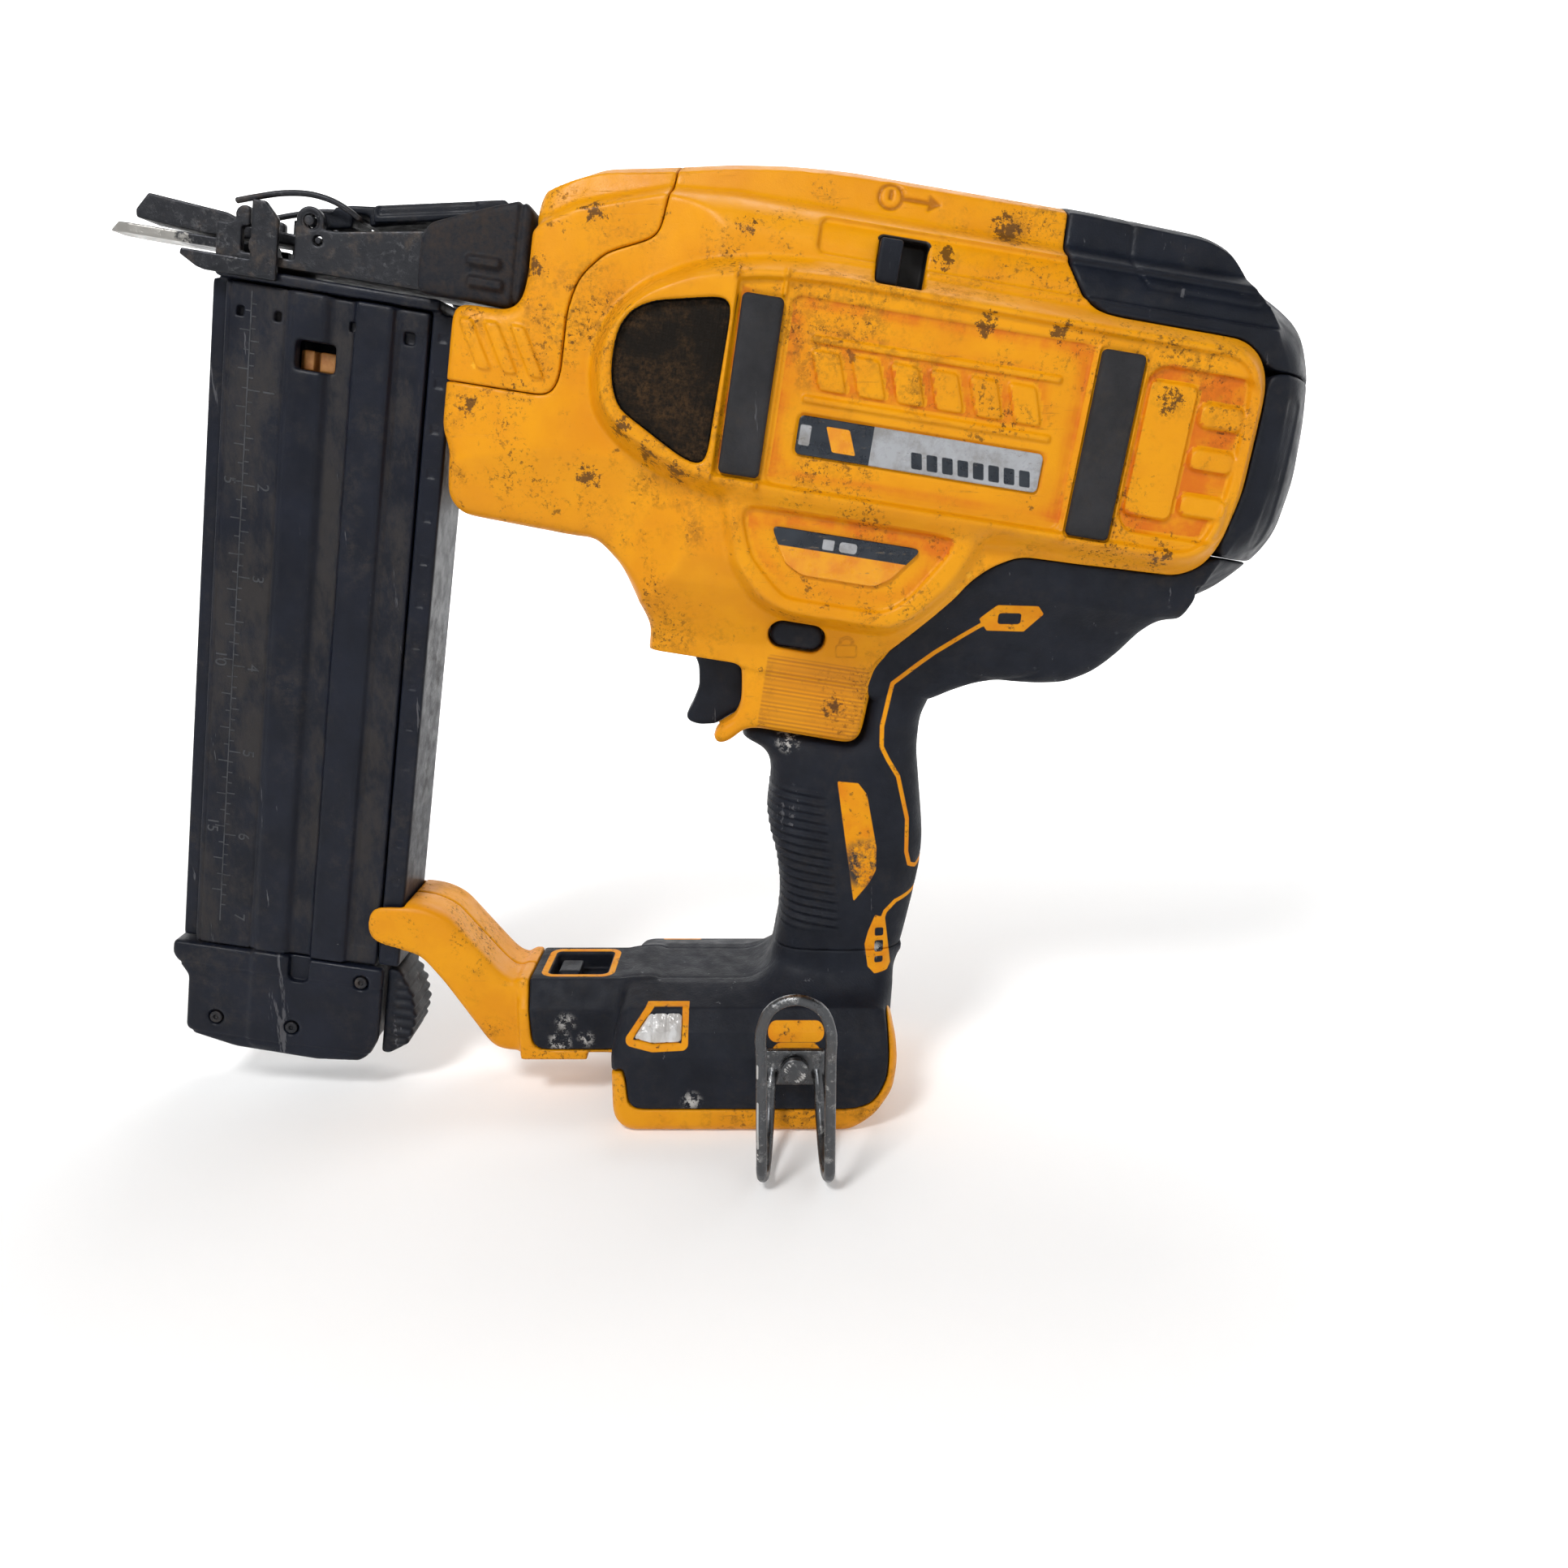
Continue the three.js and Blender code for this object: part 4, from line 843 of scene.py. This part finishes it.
def drive_casing():
    """The right half round the drive and the trigger."""
    field = smax(body_field, side(body.outline(YELLOW_BODY)) + 0.12, 0.5)
    field = smin(field, spread(body, body.outline(TRIGGER_ZONE, False), 18, 3.5), 3)
    field = sink(field, body, body.outline(VENT), 36, 1.2)
    field = sink(field, body, body.box(*STALL_WINDOW, 1), 22, 0.8)
    for pad in PADS.values():
        field = sink(field, body, body.box(*grown(pad, 0.5), 1.2), 38.5, 0.5, 0.4)
    lock_u, lock_w = to_drive(*LOCK_BUTTON)
    button = slab(body.u - lock_u, body.w - lock_w, -8, 8, -4.1, 4.1, 4)
    field = carve(field, side(button), 0.8)
    field = hollow(field, body, polygon(body.x, body.z, TRIGGER_ROOM), 7.9, 0.8)
    return smax(field, centre, 0.4)


def foot_rim():
    """The right half of the foot's rim, with the magazine arm and the battery's rail."""
    rim = smin(foot_field, spread(foot, foot.outline(ARM, False), 14, 3.5), 2.5)
    rim = carve(rim, side(foot.outline(BLACK_FOOT, False)) - 0.15, 0.5)
    rim = hollow(rim, foot, slab(foot.u, foot.w, *MAGAZINE_ROOM), 12.6, 0.5, 0.3)
    rim = carve(rim, bay, 0.6)
    rail = smax(side(foot.box(*BATTERY_RAIL, 0.6)), np.abs(foot.y - 26) - 4, 0.6)
    return smax(smin(rim, rail, 0.6), SEAM - foot.y, 0.4)


def casing_halves():
    fields = [(body, drive_casing()), (foot, foot_rim())]
    pair("housing", fields, YELLOW, YELLOW_PAINTS)


def both_sides(grid, field):
    """A right-hand field and its mirror image as one field."""
    whole = Grid(grid.low[0], grid.low[0] + 1, 0, 1, 0, 1, grid.step, grid.drive)
    whole.low = (grid.low[0], -(field.shape[1] - 1) * grid.step + grid.low[1], grid.low[2])
    return whole, np.concatenate([field[:, :0:-1], field], axis=1)


def front_cover():
    field = smax(body_field, side(body.outline(COVER)) + 0.12, 0.5)
    field = hollow(field, body, polygon(body.u, body.w, COVER_ROOM), 17.6, 0.8)
    field = hollow(field, body, body.box(*DRIVER_WAY, 1), 8.6, 0.6)
    keep = int((body.a < 156).sum())
    start = BODY_U[0]
    cropped = Grid(start, start + (keep - 0.5) * BODY_STEP, *BODY_Y, *BODY_W, BODY_STEP)
    single("front_cover", [both_sides(cropped, field[:keep])], YELLOW, paints=YELLOW_PAINTS)


def bumpers():
    proud = body_field - 0.5
    top = smax(proud, side(body.outline(BUMPER_TOP)) + 0.1, 1.0)
    top = press(top, polyline(body.u, body.w, BUMPER_LINE) - 0.35, 0.55, 1.3)
    back = smax(proud, side(body.outline(BUMPER_BACK)), 1.0)
    back = press(back, body.box(*BUMPER_DASH, 1.8), 0.5, 1.4)
    for node, field in (("rear_bumper_top", top), ("rear_bumper_back", back)):
        single(node, [both_sides(body, field)], BLACK)


# ------------------------------------------------------------------ grip
GRIP_LABEL = [(15.4, 102), (21.4, 101.4), (24, 98), (27, 82), (27, 75), (25, 71), (20.5, 65.5)]
LOWER_BADGE = [(27, 61), (30, 60), (32, 45), (31, 43.5), (27, 43), (25, 45), (24, 52), (25, 56)]
UPPER_BADGE = [(54, 149.4), (58, 153), (68.4, 152.8), (69.8, 151), (65.6, 146.4), (56, 146.6)]
PIPING = [
    [(56, 149), (42, 139.6), (30.6, 130.6), (28, 118), (28, 112), (30, 108), (33, 103), (36, 90), (36, 80),
     (37, 76), (39, 75), (41.6, 77)],
    [(29, 59), (30, 62), (33, 65), (39.5, 67.5)],
]


def grip_yellow(u, w, x, y, z):
    """Signed distance to the yellow piping, badges and label on the grip."""
    zone = polygon(x, z, GRIP_LABEL)
    slots = np.minimum(slab(x, z, 27, 29.6, 46, 48, 0.5), slab(x, z, 27, 29.6, 49.4, 53, 0.5))
    slots = np.minimum(slots, slab(x, z, 27, 29.6, 54.4, 57, 0.5))
    zone = np.minimum(zone, np.maximum(polygon(x, z, LOWER_BADGE), -slots))
    inner = slab(x, z, 58.4, 64.6, 148, 151.2, 0.8)
    zone = np.minimum(zone, np.maximum(polygon(x, z, UPPER_BADGE) - 0.5, -inner))
    for line in PIPING:
        zone = np.minimum(zone, polyline(x, z, line) - 0.6)
    return np.where(np.abs(y) > 5, zone, 5)


def grip_worn(u, w, x, y, z):
    return rise(slab(x, z, 18, 32, 70, 84, 5), 4)


def handle_half(g):
    """Half the handle's width over the side view: fullest in the middle, and flat under the drive body."""
    return (17.6 - 0.007 * (g.x - 17) ** 2 * rise(g.z - 116, 20)).astype(np.float32)


def chalk_paint(u, w, x, y, z):
    """Splashes of old white paint on the near side."""
    spots = [
        (1, 113.5, 1.8), (-66, 27, 1.2), (-68, 20.6, 1.8), (-60, 21.6, 0.8), (-27, 10.6, 1.2),
        (27, 50, 0.8),
    ]
    near = np.minimum.reduce([disc(x, z, *spot) for spot in spots])
    return rise(near - 1, 3.4) * (y < 0)


def handle_field(g):
    """The handle with its ribbed side, and a line pressed in round every yellow shape."""
    ribbed = rise(g.box(-9, 13.6 - 0.12 * (g.z - 80), 57, 100, 2), 3)
    wave = 0.5 * ribbed * (0.6 + waves(g.z + 0.16 * g.x, 2.6))
    zone = grip_yellow(g.u, g.w, g.x, 9, g.z)
    half = recess(handle_half(g) + wave, np.abs(zone) - 0.2, 0.4, 0.9).astype(np.float32)
    handle = spread(g, g.outline(HANDLE, False) - 0.5 * wave, half, 8.5)
    return smax(handle, side(ROOT_TOP - g.z), 0.1)


def under_field():
    """The rubber under the back of the drive body, with its thumb rest and strap slot."""
    narrow = ramp(body.w, [-112, -90, -80, -70, -62, -56, -44], [17.6, 17.8, 18.5, 21.5, 25.5, 30, 33])
    under = smax(body_field - 0.3, spread(body, body.outline([*TOP, *UNDERSIDE]), narrow, 6), 1.5)
    under = smax(under, side(body.outline(UNDER)), 0.9)
    under = smax(under, side(124 - body.z), 7.0)
    thumb = np.hypot((body.x - 61) / 12, (body.z - 136) / 4.5) - 1
    under = press(under, np.abs(thumb) * 4 - 0.2, 0.5, 1.5)
    slot = slab(body.u + 0.35 * body.w, body.w, 286.6, 293.6, -52, -46, 1.6)
    return sink(under, body, slot, 27, 0.8, 0.4)


def grip_overmould():
    g = Grid(-22, 64, 0, 20, 48, 150, 0.5, False)
    fields = [both_sides(g, handle_field(g)), both_sides(body, under_field())]
    paints = {"yellow": grip_yellow, "worn": grip_worn, "chalk": chalk_paint}
    single("grip_overmould", fields, RUBBER, paints=paints)


# ------------------------------------------------------------------ foot
HANDLE_ROOT = [(-5.5, 26), (-4.6, 40), (-2.6, 44), (31, 44), (31.4, 38), (29.4, 26)]
ROOT_TOP = 50.0
LENS_OUTLINE = [(-44, 29), (-38, 36.6), (-29.6, 36.6), (-29.6, 28), (-38, 27.6)]


def foot_yellow(u, w, x, y, z):
    """Signed distance to the yellow frames on the foot: switch slot, lamp, and the hook's pocket."""
    slot = np.abs(slab(x, y, -73.6, -53, -10.4, 10.4, 3)) - 0.95
    slot = np.where(z > 36.5, slot, 5)
    lamp = polygon(x, z, LENS_OUTLINE)
    lamp = np.where(np.abs(y) > 25, np.abs(lamp - 0.9) - 0.95, 5)
    frame_line = np.abs(slab(x, z, -3, 10, 19.4, 27.6, 2.5)) - 0.7
    pocket = np.minimum(slab(x, z, -4.6, 11.6, 28.4, 33.6, 2.4), frame_line)
    pocket = np.where((np.abs(y) > 30) & ((y < 0) | (z < 1)), pocket, 5)
    return np.minimum(np.minimum(slot, lamp), np.minimum(pocket, grip_yellow(u, w, x, y, z)))


def foot_overmould():
    field = smax(foot_field, side(foot.outline(BLACK_FOOT, False)) + 0.15, 0.7)
    field = carve(field, bay, 0.6)
    up = side(foot.b)
    switch = smax(slab(side(foot.x), foot.y, -72.2, -54.4, -8.8, 8.8, 2.2), 33.5 - up, 0.5)
    field = carve(field, switch, 0.9)
    field = sink(field, foot, foot.outline(LENS_OUTLINE, False, 0.6), 29, 0.5, 0.4)
    field = sink(field, foot, foot.box(-5, 12, 18, 34, 3), 35.3, 0.5)
    crease = smax(np.abs(foot.y - 12) - 0.2, 38 - up, 0.3)
    field = field + 0.3 * rise(crease, 1.0)
    stem = spread(foot, foot.outline(HANDLE, False), handle_half(foot), 8.5)
    collar = spread(foot, foot.outline(HANDLE_ROOT, False), 18.4, 8.5)
    field = smin(field, smin(stem, collar, 2), 9)
    field = smax(field, side(np.maximum(foot.z - ROOT_TOP, -foot.x - 82)), 0.1)
    paints = {"yellow": foot_yellow, "chalk": chalk_paint}
    single("foot_overmould", [both_sides(foot, field)], RUBBER, paints=paints)


# ------------------------------------------------------------------ trim
def pads():
    for word, pad in PADS.items():
        u0, u1, w0, w1 = grown(pad, 2)
        g = Grid(u0, u1, 37.5, 43, w0, w1, 0.3)
        field = plate(g, g.box(*pad, 1.4), g.y - PAD_FACE + 0.1, 38.7, 1.6, 0.3)
        pair(f"{word}_pad", [(g, field)], PAD_RUBBER)


def vent_screens():
    g = Grid(142, 173, 35.6, 39, -39, 7, 0.3)
    weave = 0.22 * waves(g.u + g.w, 1.5) * waves(g.u - g.w, 1.5)
    field = plate(g, g.outline(VENT) + 0.1, g.y - 38.0 - side(weave), 36.3, 0.4, 0.3)
    pair("vent_screen", [(g, field)], MESH)


def label_tone(u, w, x, y, z):
    """Two small white blocks at the left, and a row of dark slanted bars on the pale right part."""
    white = np.minimum(slab(u, w, 188, 191.4, -27, -22, 0.4), slab(u, w, 192.6, 195.4, -27, -22, 0.4))
    bars = [slab(u + 0.2 * w, w, start - 4.6, start - 1.8, -28.4, -24.4, 0.4) for start in range(221, 253, 4)]
    return np.where(u < 211, -white, np.minimum(u - 211, np.minimum.reduce(bars)))


def label_gold(u, w, x, y, z):
    return slab(u + 0.4 * w, w, 190.4, 196.4, -27.6, -21.6, 0.4)


def label_plates():
    u0, u1, w0, w1 = grown(LABEL, 1)
    g = Grid(u0, u1, 36.4, 39.4, w0, w1, 0.25)
    field = plate(g, g.box(*LABEL, 1.4), g.y - 38.3, 37, 0.25, 0.2)
    pair("label_plate", [(g, field)], PLATE, {"tone": label_tone, "gold": label_gold})


def badge_tone(u, w, x, y, z):
    return -np.minimum(slab(u, w, 203, 206, -52, -49.4, 0.3), slab(u, w, 207.4, 212, -52, -49.4, 0.8))


def badge_gold(u, w, x, y, z):
    return w + 52.6


def gauge_badges():
    g = Grid(187, 231, 34.6, 38.3, -61, -46.5, 0.25)
    field = plate(g, g.outline(BADGE, round_by=0.7), g.y - 36.2, 34.9, 0.3, 0.2)
    pair("gauge_badge", [(g, field)], PLATE, {"tone": badge_tone, "gold": badge_gold})


def work_lights():
    g = Grid(-46, -28, 24, 38, 26, 39, 0.3, False)
    ribs = np.abs((g.x + 44) % 4 - 2) - 0.3
    front = foot_block(g) + 0.3 + 0.25 * side(rise(ribs, 0.7))
    field = plate(g, g.outline(LENS_OUTLINE, False, 0.4) + 0.15, front, 27.6, 0.5, 0.3)
    pair("work_light_lens", [(g, field)], LENS)


# ------------------------------------------------------------------ small parts
body_of = {node: name for name, nodes in frame["record"]["behaviour"]["bodies"].items() for node in nodes}
slot_of = {part["node"]: part["material_slot"] for part in frame["record"]["subparts"]}


def remake(node, material, step=0.3, radius=0.3, drive=True, detail=None, paints=None):
    refine(node, material, body_of[node], step, radius, drive, detail, paints)


def boot_detail(g, field):
    ribs = np.minimum(g.box(101, 110, 4.2, 6.8, 1), g.box(101.6, 111, -1, 1.8, 1))
    field = press(field, ribs, -1.1, 1.4, np.abs(g.y) > 12)
    return press(field, np.abs(g.u - 113.6) - 0.5, 0.6, 1.4)


def casting_detail(g, field):
    pin = np.abs(disc(g.u, g.w, *LEVER_PIVOT, 2.2)) - 0.15
    return press(field, pin, 0.3, 0.6, np.abs(g.y) > 12)


def blade_detail(g, field):
    """A shallow groove along the top of the blade, behind its tip."""
    return field + 0.18 * rise(np.abs(g.y) - 3.4, 0.5) * (side(g.b) > 1) * (side(g.a) > 6)


def lever_detail(g, field):
    panel = slab(g.u, g.w - 0.2 * (g.u - 70), 74, 100, 12.8, 15.2, 1)
    return press(field, panel, 0.4, 1, np.abs(g.y) > 8)


def nose():
    remake("nose_boot", BOOT_RUBBER, 0.35, 1.0, detail=boot_detail)
    remake("nose_casting", NOSE_STEEL, 0.25, 0.25, detail=casting_detail)
    tip = {"tip": lambda u, w, x, y, z: u - 21 + 40 * (np.abs(y) > 12)}
    remake("contact_trip", BLADE_STEEL, 0.2, 0.2, detail=blade_detail, paints=tip)
    remake("nose_door", NOSE_STEEL, 0.22, 0.3)
    remake("latch_lever", BLACK, 0.22, 0.35, detail=lever_detail)
    remake("latch_bail", NOSE_STEEL, 0.2, 0.2)
    for node in ("lever_pin_left", "lever_pin_right", "door_pin"):
        remake(node, NOSE_STEEL, 0.15, 0.15)


KEY_HOLES = [(40, -15.5), (50, -15.5), (70, -15), (85, -15.5)]


def track_detail(g, field):
    notches = np.abs((g.w + 8) % 12 - 6) - 1.2
    lip = smax(notches, np.abs(g.u - 94) - 1.2, 0.3)
    panels = np.minimum(g.box(37, 60, -184, -20, 2.5), g.box(65, 74, -184, -20, 2.5))
    field = press(field, panels, 0.7, 1.2, g.y > 8)
    return press(field, lip, 0.35, 0.8, g.y < 0)


def cover_detail(g, field):
    """Square key holes near the top, a stepped ruler panel and a long channel."""
    for u, w in KEY_HOLES:
        field = hollow(field, g, g.box(u - 1, u + 1, w - 1.3, w + 1.3, 0.3), -9.5, 0.3, 0.3)
    lines = np.minimum(np.abs(g.u - 37.4), np.abs(g.u - 52.2)) - 0.15
    field = press(field, lines, 0.3, 0.7, g.y < -9)
    return press(field, g.box(82.4, 89.2, -192, -14, 1), 0.4, 0.8, g.y < -9)


def dust_paint(u, w, x, y, z):
    """Sawdust lies in the low stretches of the cover: the rule, the flank and the channel."""
    low = np.minimum(np.minimum(np.abs(u - 44.5) - 8, np.abs(u - 85.6) - 4), np.abs(u - 67.4) - 3)
    return rise(low, 1.5)


def cap_detail(g, field):
    """Two lines round the cap, a raised rib and the foot of the cover's channel."""
    flanks = np.abs(g.y) > 8
    band = np.minimum(g.box(29, 95, -205.4, -204.6, 0.2), g.box(34, 92, -227.3, -226.7, 0.2))
    field = press(field, band, 0.25, 0.8, flanks)
    field = press(field, g.box(53.5, 63.5, -229, -190, 3), -0.5, 2, flanks)
    return hollow(field, g, g.box(64.5, 70.5, -206, -190, 2), -10.8, 0.8)


def latch_detail(g, field):
    return field - side(0.35 * waves(g.w, 3.2) * rise(g.box(96.5, 106, -224, -201), 2))


def magazine():
    remake("magazine_track", MAGAZINE, 0.4, 0.4, detail=track_detail)
    remake("magazine_cover", MAGAZINE, 0.4, 0.4, detail=cover_detail, paints={"dusty": dust_paint})
    remake("magazine_end_cap", MAGAZINE, 0.35, 0.7, detail=cap_detail)
    remake("magazine_latch", BLACK, 0.3, 0.6, detail=latch_detail)
    remake("nail_pusher", TAN, 0.25, 0.35)
    for number in (1, 2, 3):
        remake(f"end_cap_screw_{number}", NOSE_STEEL, 0.15, 0.15)


def controls():
    remake("trigger", BLACK, 0.3, 0.9, drive=False)
    remake("trigger_lock", BLACK, 0.3, 0.6, drive=False)
    remake("stall_release_lever", BLACK, 0.3, 0.4)
    remake("mode_switch", BLACK, 0.25, 0.35, drive=False)
    remake("belt_hook", HOOK_STEEL, 0.3, 0.3, drive=False)
    remake("belt_hook_screw", HOOK_STEEL, 0.2, 0.3, drive=False)


# ------------------------------------------------------------------ ruler
RULER = {"line": 43.0, "zero": -10.2, "end": -190.0, "face": -12.0, "inch_numbers": 48.6, "cm_numbers": 39.4}
INCH = 25.4
INCH_MARKS = (3.4, 2.4, 1.4)  # the lengths at whole, half and eighth inches
NUMBER_SIZE = 4.6


def ruler_numbers():
    """(text, u, w) of each number: inches to the right of the line, centimetres to the left."""
    inches = [(str(n), RULER["inch_numbers"], RULER["zero"] - n * INCH) for n in range(1, 8)]
    metric = [(str(n), RULER["cm_numbers"], RULER["zero"] - n * 10) for n in (5, 10, 15)]
    return inches + metric


def ruler():
    points, faces = [], []

    def mark(u0, u1, w, thick=0.32):
        start = len(points)
        w0, w1 = w - thick / 2, w + thick / 2
        for y in (RULER["face"] - 0.1, RULER["face"] + 0.3):
            points.extend((u, y, v) for u, v in ((u0, w0), (u1, w0), (u1, w1), (u0, w1)))
        for face in ((0, 1, 2, 3), (7, 6, 5, 4), (4, 5, 1, 0), (5, 6, 2, 1), (6, 7, 3, 2), (7, 4, 0, 3)):
            faces.append(tuple(start + k for k in face))

    line = RULER["line"]
    length = RULER["zero"] - RULER["end"]
    mark(line - 0.16, line + 0.16, RULER["zero"] - length / 2, length)
    whole, half, eighth = INCH_MARKS
    for n in range(1, int(length / (INCH / 8))):
        reach = whole if n % 8 == 0 else half if n % 4 == 0 else eighth
        mark(line + 0.2, line + reach, RULER["zero"] - n * INCH / 8)
    for n in range(1, int(length / 5)):
        mark(line - (2.8 if n % 2 == 0 else 1.5), line - 0.2, RULER["zero"] - n * 5)
    for text, u, w in ruler_numbers():
        curve = bpy.data.curves.new("number", "FONT")
        curve.body, curve.size, curve.extrude = text, NUMBER_SIZE, 0.2
        curve.align_x, curve.align_y = "CENTER", "CENTER"
        glyph = bpy.data.objects.new("number", curve)
        flat = glyph.to_mesh()
        start = len(points)
        points.extend((u + v.co.y, RULER["face"] + 0.1 - v.co.z, w - v.co.x) for v in flat.vertices)
        faces.extend(tuple(start + k for k in face.vertices) for face in flat.polygons)
        glyph.to_mesh_clear()
        bpy.data.objects.remove(glyph)
    mesh = bpy.data.meshes.new("ruler_marks")
    mesh.from_pydata([tuple(p) for p in place(np.array(points), True)], [], faces)
    mesh.validate()
    mesh.materials.append(PRINT)
    obj = bpy.data.objects.new("ruler_marks", mesh)
    bpy.context.scene.collection.objects.link(obj)
    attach(obj, "magazine_cover")


# ------------------------------------------------------------------ studio, in metres
MIDDLE = (0, 0, 0.14)
LIGHTS = [("key", (-0.35, -0.75, 0.95), 0.28, 8.6), ("fill", (0.8, -0.7, 0.45), 0.9, 0.7),
          ("top", (0.15, 0.5, 1.1), 0.6, 3.4)]
FLOOR_RADIUS, WALL_CURVE, WALL_TOP = 1.2, 0.9, 1.8
GLOW = (0.0, 0.75, 0.14, 0.92)  # from and to along Y, and the strength at each
WORLD_STRENGTH = 0.1
CAMERA_AT, CAMERA_TILT, CAMERA_LENS = (0, -0.3647, 0.1878), 76, 28.51  # from the foot's origin


def area_light(name, at, size, power):
    light = bpy.data.lights.new(name, "AREA")
    light.shape, light.size, light.energy = "DISK", size, power
    obj = bpy.data.objects.new(name, light)
    obj.location = at
    obj.rotation_euler = (Vector(MIDDLE) - Vector(at)).to_track_quat("-Z", "Y").to_euler()
    bpy.context.scene.collection.objects.link(obj)


def backdrop_mesh():
    """A flat floor that curves up all round into a low wall."""
    rings = [(0.5, 0.0), (FLOOR_RADIUS, 0.0)]
    for angle in np.linspace(0.15, math.pi / 2, 12):
        rings.append((FLOOR_RADIUS + WALL_CURVE * math.sin(angle), WALL_CURVE - WALL_CURVE * math.cos(angle)))
    rings.append((FLOOR_RADIUS + WALL_CURVE, WALL_TOP))
    turns = 96
    around = np.arange(turns) * 2 * math.pi / turns
    points = [(r * math.cos(angle), r * math.sin(angle), z) for r, z in rings for angle in around]
    faces = [tuple(range(turns))]
    for ring in range(len(rings) - 1):
        for k in range(turns):
            here, after = ring * turns + k, ring * turns + (k + 1) % turns
            faces.append((here, here + turns, after + turns, after))
    mesh = bpy.data.meshes.new("floor")
    mesh.from_pydata(points, [], faces)
    mesh.shade_smooth()
    return mesh


def pale_floor():
    """A white floor that glows more to the rear."""
    p = Paint("pale_floor")
    material = p.done(p.mix((0.88, 0.88, 0.88), (0.86, 0.86, 0.86), p.noise(3, 2)), 0.8, specular=0.05)
    split = p.node("ShaderNodeSeparateXYZ")
    p.feed(split.inputs[0], p.position)
    p.feed(p.shader.inputs["Emission Color"], (1, 1, 1, 1))
    p.feed(p.shader.inputs["Emission Strength"], p.between(split.outputs["Y"], *GLOW))
    return material


def studio():
    mesh = backdrop_mesh()
    mesh.materials.append(pale_floor())
    floor = bpy.data.objects.new("floor", mesh)
    bpy.context.scene.collection.objects.link(floor)
    world = bpy.data.worlds.new("soft_white")
    world.use_nodes = True
    background = world.node_tree.nodes["Background"]
    background.inputs["Color"].default_value = (1, 1, 1, 1)
    background.inputs["Strength"].default_value = WORLD_STRENGTH
    bpy.context.scene.world = world
    for name, at, size, power in LIGHTS:
        area_light(name, at, size, power)
    bpy.context.scene.view_settings.view_transform = "Standard"


def camera():
    data = bpy.data.cameras.new("camera")
    data.lens, data.sensor_width = CAMERA_LENS, 36
    data.clip_start, data.clip_end = 0.01, 20
    obj = bpy.data.objects.new("camera", data)
    obj.location = Vector(ORIGIN) + Vector(CAMERA_AT)
    obj.rotation_euler = (math.radians(CAMERA_TILT), 0, 0)
    bpy.context.scene.collection.objects.link(obj)
    bpy.context.scene.camera = obj


camera()
studio()
casing_halves()
front_cover()
bumpers()
grip_overmould()
foot_overmould()
pads()
vent_screens()
label_plates()
gauge_badges()
work_lights()
nose()
magazine()
controls()
ruler()
for node, obj in frame["nodes"].items():
    for holder in obj.material_slots:
        holder.material = HIDDEN[slot_of[node]]
